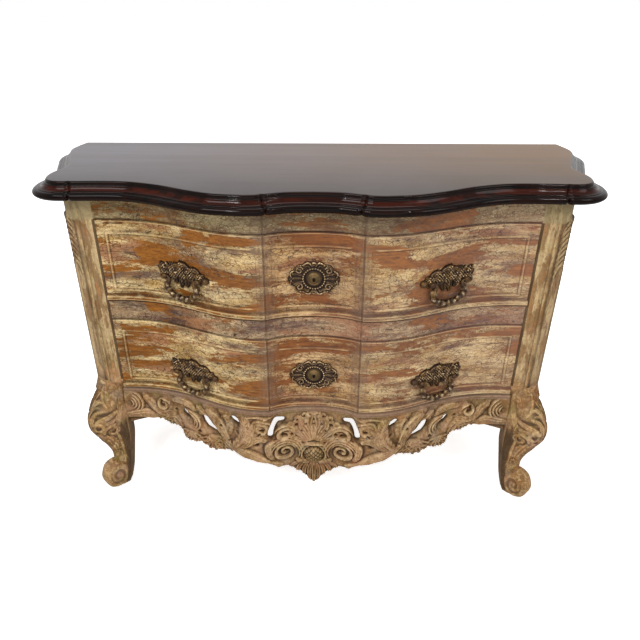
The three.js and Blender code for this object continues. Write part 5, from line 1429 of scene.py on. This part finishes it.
def carveApron(look):
    end = caseSizes["postInner"] - caseSizes["gap"]
    base = caseSizes["lowerBase"]
    height, worked = apronHeights(look)
    u = np.linspace(-end, end, int(2 * end / look["columnStep"]) + 1)
    shares = np.linspace(0, 1, look["rows"])
    shares = shares - 0.035 * np.sin(2 * pi * shares) / (2 * pi)
    wide, up = np.meshgrid(u, shares, indexing="ij")
    up = base - apronEdge(wide, look) * (1 - up)

    def inside(x, z):
        return holeDistance(x, base - z, look)

    def rim(x, z):
        near = np.minimum(inside(x, z), apronEdge(x, look) - (base - z))
        return 1 - np.sqrt(np.clip(1 - np.clip(1 - near / look["rimRound"], 0, 1)**2, 0, 1))

    def front(x, z):
        return onFace(x, height(np.abs(x), base - z) - look["rimRound"] * rim(x, z), z)

    def back(x, z):
        # Cut back round each piercing, so that light comes through it
        near = 1 - np.clip(inside(x, z) / look["thinReach"], 0, 1)
        level = look["proud"] - look["thickness"] + look["thin"] * smoothStep(near, 0, 0.8)
        return onFace(x, level + 3 * rim(x, z) * (1 - near), z)

    def cavity(x, z):
        return worked(np.abs(x), base - z)
    inner = beak + 20
    for name, span, replaced in (("apronLeft", (-end, -inner), ()),
                                 ("apronMiddle", (-inner, inner), ["carved_apron"]),
                                 ("apronRight", (inner, end), ())):
        mesh = cutSheet(name, wide, up, inside, front, back, cavity, span)
        finishPiece(name, mesh, carvedApron, "case", replaced)


carveApron(apronLook)
print("apron carved")


# Hardware: cast plates carved from ribs and leaves, each on the bent field behind it

pullLook = {
    "x": 331.24, "turn": 0.414, "upperZ": 698.4, "lowerZ": 404.6, "pivot": 8.8, "pinOut": 16, "half": 50,
    "seat": 0.3, "base": 1.4, "cell": 1.05, "threshold": 1.0, "crown": 5.0, "knob": (-68, 10, 9.5),
    "knobHigh": 11, "knobRing": (1.12, 0.12), "ringDeep": 3, "seatHigh": 3.0, "rosette": 23,
    "across": (-80, 80.1), "up": (-24, 60), "crownAt": (6, 34), "crownUp": (24, 26), "chasing": 1.8,
    "shadeReach": 5, "shadeDepth": 2.0,
    "ear": [(8.5, 0), (8.8, 1.2), (8.0, 2.6), (6.0, 4.0), (5.4, 7), (5.6, 10), (6.6, 11.5), (6.9, 13),
            (6.9, 19), (6.6, 20.2), (5.4, 21.4), (3.6, 22.1), (3.0, 21.6), (2.2, 22.4), (0.9, 23)],
    "berryLine": [(-52, 18), (-30, 26), (-4, 26), (22, 34), (44, 30), (62, 20)],
    "berries": {"Count": 26, "Size": 2.0 * mm, "Spread": 0.35, "Off": 6.0 * mm}, "berryOut": 8.5,
}


def pullPlace(side, look):
    # Places in front of the drawer: u outwards along the plate, out off the wood, w upwards
    x0 = side * look["x"]
    y0 = faceY(x0) - caseSizes["fieldRise"]
    c, s = math.cos(side * look["turn"]), math.sin(side * look["turn"])
    us = np.linspace(-84, 84, 169)
    depth = np.zeros_like(us)  # of the bent wood behind the plate's own plane
    for _ in range(12):
        depth = (faceY(x0 + us * c - depth * s) - caseSizes["fieldRise"] - y0 - us * s) / c

    def onPlate(u, out, w, level=None):
        off = np.asarray(out) - (np.interp(u, us, depth) if level is None else level)
        return np.stack([x0 + u * c + off * s, y0 + u * s - off * c, w + np.zeros_like(u)], axis=-1)
    return onPlate


def plateCarving(look):
    items = [rib([(-66, 12), (-46, 22), (-18, 15), (12, 14), (40, 18), (66, 8)], 8.5, 6.0, (0.8, 0.6)),
             curl((61, 3), 11, 2.5, 1.6, -1.2, 4.0, 6.0, (0.9, 0.7))]
    for points, lobes, reach in (
            ([(2, 12), (4, 28), (2, 46)], 4, 15), ([(28, 10), (32, 22), (36, 34)], 3, 16),
            ([(-26, 16), (-30, 24), (-34, 32)], 3, 14), ([(46, 10), (56, 18), (64, 28)], 3, 16),
            ([(-44, 14), (-52, 18), (-60, 20)], 3, 10)):
        items += spray(points, 5.0, 6.0, lobes, 0.9, reach, 0.5)
    for centre, size, turn, turns, width, rise in (((-18, 31), 8, 0.4, 1.1, 3.2, 6.5),
                                                   ((12, 22), 7, 2.4, 1.2, 3.4, 7.5),
                                                   ((52, 34), 7, 2.0, 1.1, 3.2, 6.5)):
        items.append(curl(centre, size, 2, turn, turns, width, rise, (0.9, 0.7)))
    for at, low, lean in ((-30, -7, -3), (-12, -15, 4), (8, -20, 2), (28, -9, -4)):
        items.append(leaf([(at * 0.8, 8), (at, 0), (at + lean, low)], 10, 5.0, (0.9, 0.6), 12))
    # Leaves that cross the plate, so that it reads as one tangled mass
    for points in ([(-58, 8), (-44, 20), (-26, 22), (-12, 12)], [(-20, 4), (-6, 18), (14, 20), (30, 8)],
                   [(4, 36), (20, 40), (34, 30), (50, 32)], [(22, 2), (38, 10), (54, 20), (66, 18)],
                   [(-48, 30), (-36, 36), (-20, 34), (-8, 24)], [(-16, 40), (4, 46), (20, 36)]):
        items.append(leaf(points, 5.6, 7.0, (0.6, 0.3), 20, 1.2))
    return items + [curl((x, look["pivot"]), 9.5, 9.5, 0, 1, 4.6, 3.6, (1, 1))
                    for x in (-look["half"], look["half"])]


def plateMasses():
    rows = [([(-64, 12), (-40, 20), (-6, 22), (34, 24), (64, 14)], 12, 3.5),
            ([(24, 12), (32, 26), (38, 38)], 13, 3.5),
            ([(-2, 14), (2, 30), (2, 44)], 13, 3.2), ([(-32, 16), (-32, 28), (-30, 38)], 9, 3),
            ([(50, 16), (60, 28), (68, 38)], 10, 3), ([(0, 10), (0, 0), (0, -12)], 8, 2.4),
            ([(-34, 8), (-32, -2), (-30, -8)], 7, 2.4), ([(34, 8), (32, -2), (30, -8)], 7, 2.4)]
    return [rib(points, width, rise, (0.7, 0.6), 20) for points, width, rise in rows]


def plateMesh(side, z, place, look):
    u = np.arange(*look["across"], look["cell"])
    w = np.arange(*look["up"], look["cell"])
    masses = carve(u, w, plateMasses(), np.zeros((len(u), len(w))))
    height = carve(u, w, plateCarving(look), masses)
    uu, ww = np.meshgrid(u, w, indexing="ij")
    height = height - look["chasing"] * np.cos(uu * 0.8 + 1) * np.cos(ww * 0.7 + 1) * (masses > 1)
    at, level, radius = look["knob"]
    knob = np.hypot(uu - at, ww - level) / radius
    dome = look["knobHigh"] * np.sqrt(np.clip(1 - knob**2, 0, 1))
    height = np.where(knob < 1, np.maximum(height, dome), height)
    height = height - look["ringDeep"] * ridgeAt(knob, *look["knobRing"])
    for end in (-1, 1):
        seat = np.hypot(uu - end * look["half"], ww - look["pivot"]) / look["ear"][0][0]
        height = np.where(seat < 1, np.maximum(height, look["seatHigh"]), height)
    lift = look["crown"] * ridgeAt(uu, *look["crownAt"]) * ridgeAt(ww, *look["crownUp"])
    worked = hollows(height, look["shadeReach"], look["shadeDepth"]) + (height - 7.5) / 12
    worked = np.clip(worked, -1, 0.9)
    shown, full = sampled(u, w, height), sampled(u, w, height + lift)
    shade = sampled(u, w, np.where(knob < 1.1, np.minimum(worked, 0.1), worked))

    def inside(a, b):
        return shown(a * side, b) - look["threshold"]

    def front(a, b):
        return place(a, look["seat"] + look["base"] + np.maximum(full(a * side, b), 0), b + z)

    def back(a, b):
        return place(a, np.full_like(a, look["seat"]), b + z)
    wide, up = np.meshgrid(u if side > 0 else -u[::-1], w, indexing="ij")
    return cutSheet("plate", wide, up, inside, front, back, lambda a, b: shade(a * side, b))


def earMesh(u, z, place, look):
    # A turned knob that holds the pin, with a rosette on its face
    spot = [np.array([value]) for value in (u, look["seat"], z)]
    start = place(*spot)[0]
    axis = place(spot[0], np.array([look["rosette"]]), spot[2], 0.0)[0] - start
    side = np.cross(axis / np.linalg.norm(axis), (0, 0, 1))
    angle = np.linspace(0, 2 * pi, 20, endpoint=False)[:, None]
    ring = np.cos(angle) * side + np.sin(angle) * np.array([0, 0, 1])
    return tubeMesh("ear", [start + r * ring + out / look["rosette"] * axis for r, out in look["ear"]])


bailLook = {
    "radius": 5.2, "sides": 12, "rings": 150, "knots": 13, "swell": 0.26, "flutes": 0.13, "twist": 5,
    "line": [(57, 0), (47, 0), (41.9, 0), (38.6, -3), (38.2, -10), (42, -17), (45.5, -27), (42, -40),
             (28, -50.5), (15, -54.8), (6, -56.8), (0, -57.5)],
    "sizes": [0.5, 0.5, 0.5, 0.7, 1.05, 1.3, 1.5, 1.6, 1.5, 1.6, 1.65, 1.7],
    "berries": {"Count": 60, "Size": 2.8 * mm, "Spread": 0.35, "Off": 3.2 * mm}, "berryOut": 3.0, "bare": 26,
}


def bailLine(look):
    half = catmull(look["line"], look["rings"] // 2)
    size = np.interp(np.linspace(0, 1, len(half)), np.linspace(0, 1, len(look["sizes"])), look["sizes"])
    return (np.vstack([half, half[-2::-1] * [-1, 1]]), np.concatenate([size, size[-2::-1]]))


def bailMesh(z, place, look):
    # A cast garland: a bent bar of leaves that swell and close again, twisted along its length
    line, size = bailLine(look)
    run = np.concatenate([[0], np.cumsum(np.hypot(*np.diff(line, axis=0).T))])
    t = (run / run[-1])[:, None]
    side = across(line)[:, :, None]
    worked = smoothStep(np.minimum(t, 1 - t), 0.12, 0.17)
    wave = np.abs(np.sin(pi * look["knots"] * t))
    angle = np.linspace(0, 2 * pi, look["sides"], endpoint=False)
    flute = np.cos(3 * (angle + look["twist"] * t * pi))
    ridged = look["swell"] * (wave - 0.5) + look["flutes"] * flute
    r = size[:, None] * look["radius"] * (1 + worked * ridged)
    u = line[:, :1] + side[:, 0] * r * np.cos(angle)
    w = line[:, 1:] + side[:, 1] * r * np.cos(angle)
    rings = place(u, pullLook["pinOut"] + r * np.sin(angle), w + z, 0.0)
    return tubeMesh("bail", rings, worked * (wave - 0.55 + 0.35 * flute), 60)


# Geometry Nodes: small castings strung along a line

strungInputs = [  # name, kind and first value
    ("Line", "Geometry", None), ("Count", "Int", 24), ("Size", "Float", 0.002), ("Spread", "Float", 0.2),
    ("Off", "Float", 0.0), ("Seed", "Int", 3), ("Metal", "Material", None),
]


def strungTree():
    tree = bpy.data.node_groups.new("strungBerries", "GeometryNodeTree")
    for name, kind, value in strungInputs:
        socket = tree.interface.new_socket(name, in_out="INPUT", socket_type="NodeSocket" + kind)
        if value is not None:
            socket.default_value = value
    tree.interface.new_socket("Beads", in_out="OUTPUT", socket_type="NodeSocketGeometry")
    n = Nodes(tree)
    given = n.add("NodeGroupInput").outputs
    low, high = n.less(1.0, given["Spread"]), n.plus(1.0, given["Spread"])
    spots = n.add("GeometryNodeCurveToPoints", {"Curve": given["Line"], "Count": given["Count"]},
                  mode="COUNT")
    scale = n.add("FunctionNodeRandomValue", {2: low, 3: high, "Seed": given["Seed"]}, data_type="FLOAT")
    shift = n.add("FunctionNodeRandomValue", {0: (-1, -1, -1), 1: (1, 1, 1), "Seed": given["Seed"]},
                  data_type="FLOAT_VECTOR")
    moved = n.add("ShaderNodeVectorMath", {0: shift.outputs[0], "Scale": given["Off"]}, operation="SCALE")
    strewn = n.add("GeometryNodeSetPosition", {"Geometry": spots.outputs["Points"],
                                               "Offset": moved.outputs["Vector"]})
    berry = n.add("GeometryNodeMeshIcoSphere", {"Radius": given["Size"], "Subdivisions": 2})
    strung = {"Points": strewn.outputs[0], "Instance": berry.outputs["Mesh"], "Scale": scale.outputs[1]}
    made = n.add("GeometryNodeInstanceOnPoints", strung).outputs["Instances"]
    for kind in ("RealizeInstances", "SetShadeSmooth", "SetMaterial"):
        step = n.add("GeometryNode" + kind, {"Geometry": made})
        made = step.outputs["Geometry"]
    n.feed(step, {"Material": given["Metal"]})
    n.add("NodeGroupOutput", {"Beads": made})
    return tree


strung = strungTree()


def strungPiece(name, line, material, carrier, slot, closed=False, **inputs):
    # line: places in millimetres
    curve = bpy.data.curves.new(name + "Line", "CURVE")
    curve.dimensions = "3D"
    spline = curve.splines.new("POLY")
    spline.points.add(len(line) - 1)
    for point, place in zip(spline.points, np.asarray(line) * mm):
        point.co = (*place, 1.0)
    spline.use_cyclic_u = closed
    holder = bpy.data.objects.new(name + "Line", curve)
    bpy.context.scene.collection.objects.link(holder)
    modifier = holder.modifiers.new("strung", "NODES")
    modifier.node_group = strung
    inputs["Metal"] = material
    for socket in strung.interface.items_tree:
        if socket.in_out == "INPUT" and socket.name in inputs:
            modifier[socket.identifier] = inputs[socket.name]
    view = bpy.context.evaluated_depsgraph_get()
    mesh = bpy.data.meshes.new_from_object(holder.evaluated_get(view), depsgraph=view)
    bpy.data.objects.remove(holder)
    mesh.name = name
    return finishPiece(name, mesh, material, carrier)


def buildPull(level, side, z):
    hand = "Right" if side > 0 else "Left"
    drawer, body = level + "_drawer", f"{level}_bail_{hand.lower()}"
    pin = z + pullLook["pivot"]
    place = pullPlace(side, pullLook)
    parts = [plateMesh(side, z, place, pullLook)]
    parts += [earMesh(end * pullLook["half"], pin, place, pullLook) for end in (-1, 1)]
    finishPiece(f"{level}PullPlate{hand}", joinedMesh("pullPlate", parts), bronze, drawer,
                [f"{level}_pull_plate_{hand.lower()}"])
    finishPiece(f"{level}Bail{hand}", bailMesh(pin, place, bailLook), rubbedBronze, body,
                [body])
    line = bailLine(bailLook)[0][bailLook["bare"]:-bailLook["bare"]]
    spots = place(line[:, 0], pullLook["pinOut"] + bailLook["berryOut"], line[:, 1] + pin, 0.0)
    strungPiece(f"{level}BailBerries{hand}", spots, rubbedBronze, body, "antique_bronze",
                Seed=7 if side > 0 else 11, **bailLook["berries"])
    line = catmull(pullLook["berryLine"], 80) * [side, 1]
    spots = place(line[:, 0], pullLook["berryOut"], line[:, 1] + z)
    strungPiece(f"{level}PullBerries{hand}", spots, rubbedBronze, drawer, "antique_bronze",
                Seed=3 if side > 0 else 5, **pullLook["berries"])


escutcheonLook = {
    "upperZ": 722.4, "lowerZ": 436.3, "half": (62, 44), "cell": 0.95, "threshold": 0.9, "seat": 0.3,
    "base": 1.5, "ring": 27, "cords": 26, "disc": 15.5, "around": 72, "hole": 4.0, "slotHalf": 2.5,
    "slotLow": 11.0,
    "dome": [(0.0, 8.6), (0.14, 9.0), (0.3, 8.7), (0.5, 7.8), (0.68, 6.7), (0.82, 5.4), (0.92, 4.4),
             (1.0, 3.9), (1.06, 4.5), (1.1, 3.4), (1.1, 0.4)],
    "rim": (58, 40.5, 6.0), "floor": 1.2, "cordHigh": 1.4, "cordHalf": 3, "dish": (21.5, 3.2),
    "shadeReach": 5, "shadeDepth": 1.6, "spare": 3,
    "beads": {"Count": 34, "Size": 1.9 * mm, "Spread": 0.3, "Off": 0.8 * mm, "Seed": 5},
}


def escutcheonCarving(look):
    items = [curl((0, 0), 18.5, 18.5, 0, 1, 2.0, 3.0, (1, 1)),
             curl((0, 0), look["ring"], look["ring"], 0, 1, 2.6, 5.0, (1, 1), count=80),
             rib([(-58, 0), (-30, 0), (30, 0), (58, 0)], 16, 1.6, (0.8, 0.8), 20)]
    for side in (-1, 1):
        items += [rib([(-42, side * 6), (0, side * 26), (42, side * 6)], 15, 1.6, (0.8, 0.8), 20),
                  leaf([(side * 29, 0), (side * 44, 1), (side * 59, 0)], 4.0, 4.6, (0.9, 0.6)),
                  curl((0, side * 38), 5, 1.5, 0, 1.0, 3.0, 4.8, (1, 0.8))]
        for up in (-1, 1):
            start = 2.6 if side * up > 0 else 0.5
            items.append(curl((side * 36, up * 22), 9.5, 3, start, -side * up * 1.1, 3.2, 4.6, (0.9, 0.7)))
            for points, width, rise, ends, shape in (
                    ([(4, 33), (14, 42), (28, 35)], 3.0, 4.6, (0.8, 0.6), "round"),
                    ([(28, 35), (40, 33), (49, 22)], 2.8, 4.2, (0.8, 0.6), "double"),
                    ([(49, 22), (58, 15), (56, 5)], 3.4, 4.8, (0.7, 0.7), "round"),
                    ([(10, 28), (17, 33), (24, 28)], 2.6, 3.6, (0.7, 0.7), "leaf"),
                    ([(28, 8), (42, 12), (54, 17)], 3.2, 4.0, (0.8, 0.6), "leaf")):
                items.append(rib(np.array(points) * [side, up], width, rise, ends, shape=shape))
    return items


def escutcheonMesh(z, look):
    wide, high = look["half"]
    u = np.arange(-wide - look["spare"], wide + look["spare"] + 0.1, look["cell"])
    w = np.arange(-high - look["spare"], high + look["spare"] + 0.1, look["cell"])
    height = carve(u, w, escutcheonCarving(look), np.zeros((len(u), len(w))))
    uu, ww = np.meshgrid(u, w, indexing="ij")
    r = np.hypot(uu, ww)
    height = np.where(r < look["ring"] + 2, np.maximum(height, look["floor"]), height)
    cords = np.cos(np.arctan2(ww, uu) * look["cords"])
    height = height + look["cordHigh"] * cords * ridgeAt(r, look["ring"], look["cordHalf"])
    shown = sampled(u, w, height)
    worked = hollows(height, look["shadeReach"], look["shadeDepth"]) + (height - 3.2) / 7
    shade = sampled(u, w, np.clip(worked - 0.9 * ridgeAt(r, *look["dish"]), -1, 1))

    def place(a, out, b):
        return onFace(a, caseSizes["fieldRise"] + out, b + z)

    def inside(a, b):
        return shown(a, b) - look["threshold"]

    def front(a, b):
        return place(a, look["base"] + np.maximum(shown(a, b), 0), b)

    def back(a, b):
        return place(a, look["seat"], b)
    return cutSheet("escutcheon", uu, ww, inside, front, back, shade)


def discMesh(z, look):
    # A domed disc whose keyhole runs right through it, as a closed ring of walls
    y = caseSizes["centreY"] - caseSizes["fieldRise"]
    count = look["around"]
    angle = np.linspace(0, 2 * pi, count, endpoint=False) + pi / 2
    outer = np.stack([np.cos(angle), np.sin(angle)], axis=1)
    slot = np.minimum(look["slotHalf"] / np.maximum(np.abs(outer[:, 0]), 1e-3),
                      look["slotLow"] / np.maximum(np.abs(outer[:, 1]), 1e-3))
    radius = np.where(outer[:, 1] < -0.55, np.maximum(look["hole"], slot), look["hole"])
    hole = outer * radius[:, None]
    outer = outer * look["disc"]
    rings = []
    for t, out in look["dome"] + [(0.0, look["dome"][-1][1])]:
        flat = hole + (outer * 0.4 - hole) * (t / 0.4) if t < 0.4 else outer * t
        rings.append(np.stack([flat[:, 0], np.full(count, y - out), flat[:, 1] + z], axis=1))
    quads = gridQuads(len(rings) + 1, count, closed=True) % (len(rings) * count)
    cavity = np.full((len(rings), count), 0.15)
    # Painted shade: the keyhole's walls are darkened all through the disc
    cavity[[0, -1]] = -1
    return turnedOut(makeMesh("disc", rings, quads, (), cavity, 35))


def buildEscutcheon(level, z, look):
    drawer = level + "_drawer"
    finishPiece(level + "Escutcheon", escutcheonMesh(z, look), darkBronze, drawer,
                [level + "_escutcheon"])
    finishPiece(level + "KeyDisc", discMesh(z, look), discBrass, drawer)
    wide, high, out = look["rim"]
    angle = np.linspace(0, 2 * pi, 200, endpoint=False)
    rim = onFace(wide * np.cos(angle), out, z + high * np.sin(angle))
    strungPiece(level + "EscutcheonBeads", rim, bronze, drawer, "antique_bronze", True, **look["beads"])


for level in ("upper", "lower"):
    for side in (-1, 1):
        buildPull(level, side, pullLook[level + "Z"])
    buildEscutcheon(level, escutcheonLook[level + "Z"], escutcheonLook)


# Nails that hold the back panel to its rails and posts

nailLook = {
    "size": 5.0, "half": 608, "low": 278, "high": 896, "rows": (300, 584, 876), "count": 26, "face": 258.2,
    "spread": 0.04, "seed": 20,
}


def driveNails(look):
    half, face = look["half"], look["face"]
    lines = [([(-half, face, z), (half, face, z)], look["count"]) for z in look["rows"]]
    lines += [([(x, face, look["low"]), (x, face, look["high"])], look["count"] // 2) for x in (-half, half)]
    for number, (line, count) in enumerate(lines):
        strungPiece(f"backNails{number}", line, steel, "case", "steel", Count=count, Size=look["size"] * mm,
                    Spread=look["spread"], Off=0.0, Seed=look["seed"] + number)


driveNails(nailLook)
print("hardware made")


# Solids that keep their own shape take their finish here

finishRules = [
    ("rear_post", sidePaint), ("side_panel", sidePaint), ("side_top_rail", friezePaint),
    ("side_bottom_rail", carvedWood), ("runner", woodDeep), ("kicker", woodDeep), ("drawer_side", woodDeep),
    ("dust_board", woodAcross), ("bottom_board", woodAcross), ("drawer_bottom", woodAcross),
    ("drawer_back", woodAcross), ("lower_rail", woodAcross), ("back_", woodAcross), ("lock", steel),
    ("screw", steel),
]
for name, holder in nodes.items():
    for key, material in finishRules:
        if key in name:
            for slotItem in holder.material_slots:
                slotItem.material = material
            break
print("solids finished")
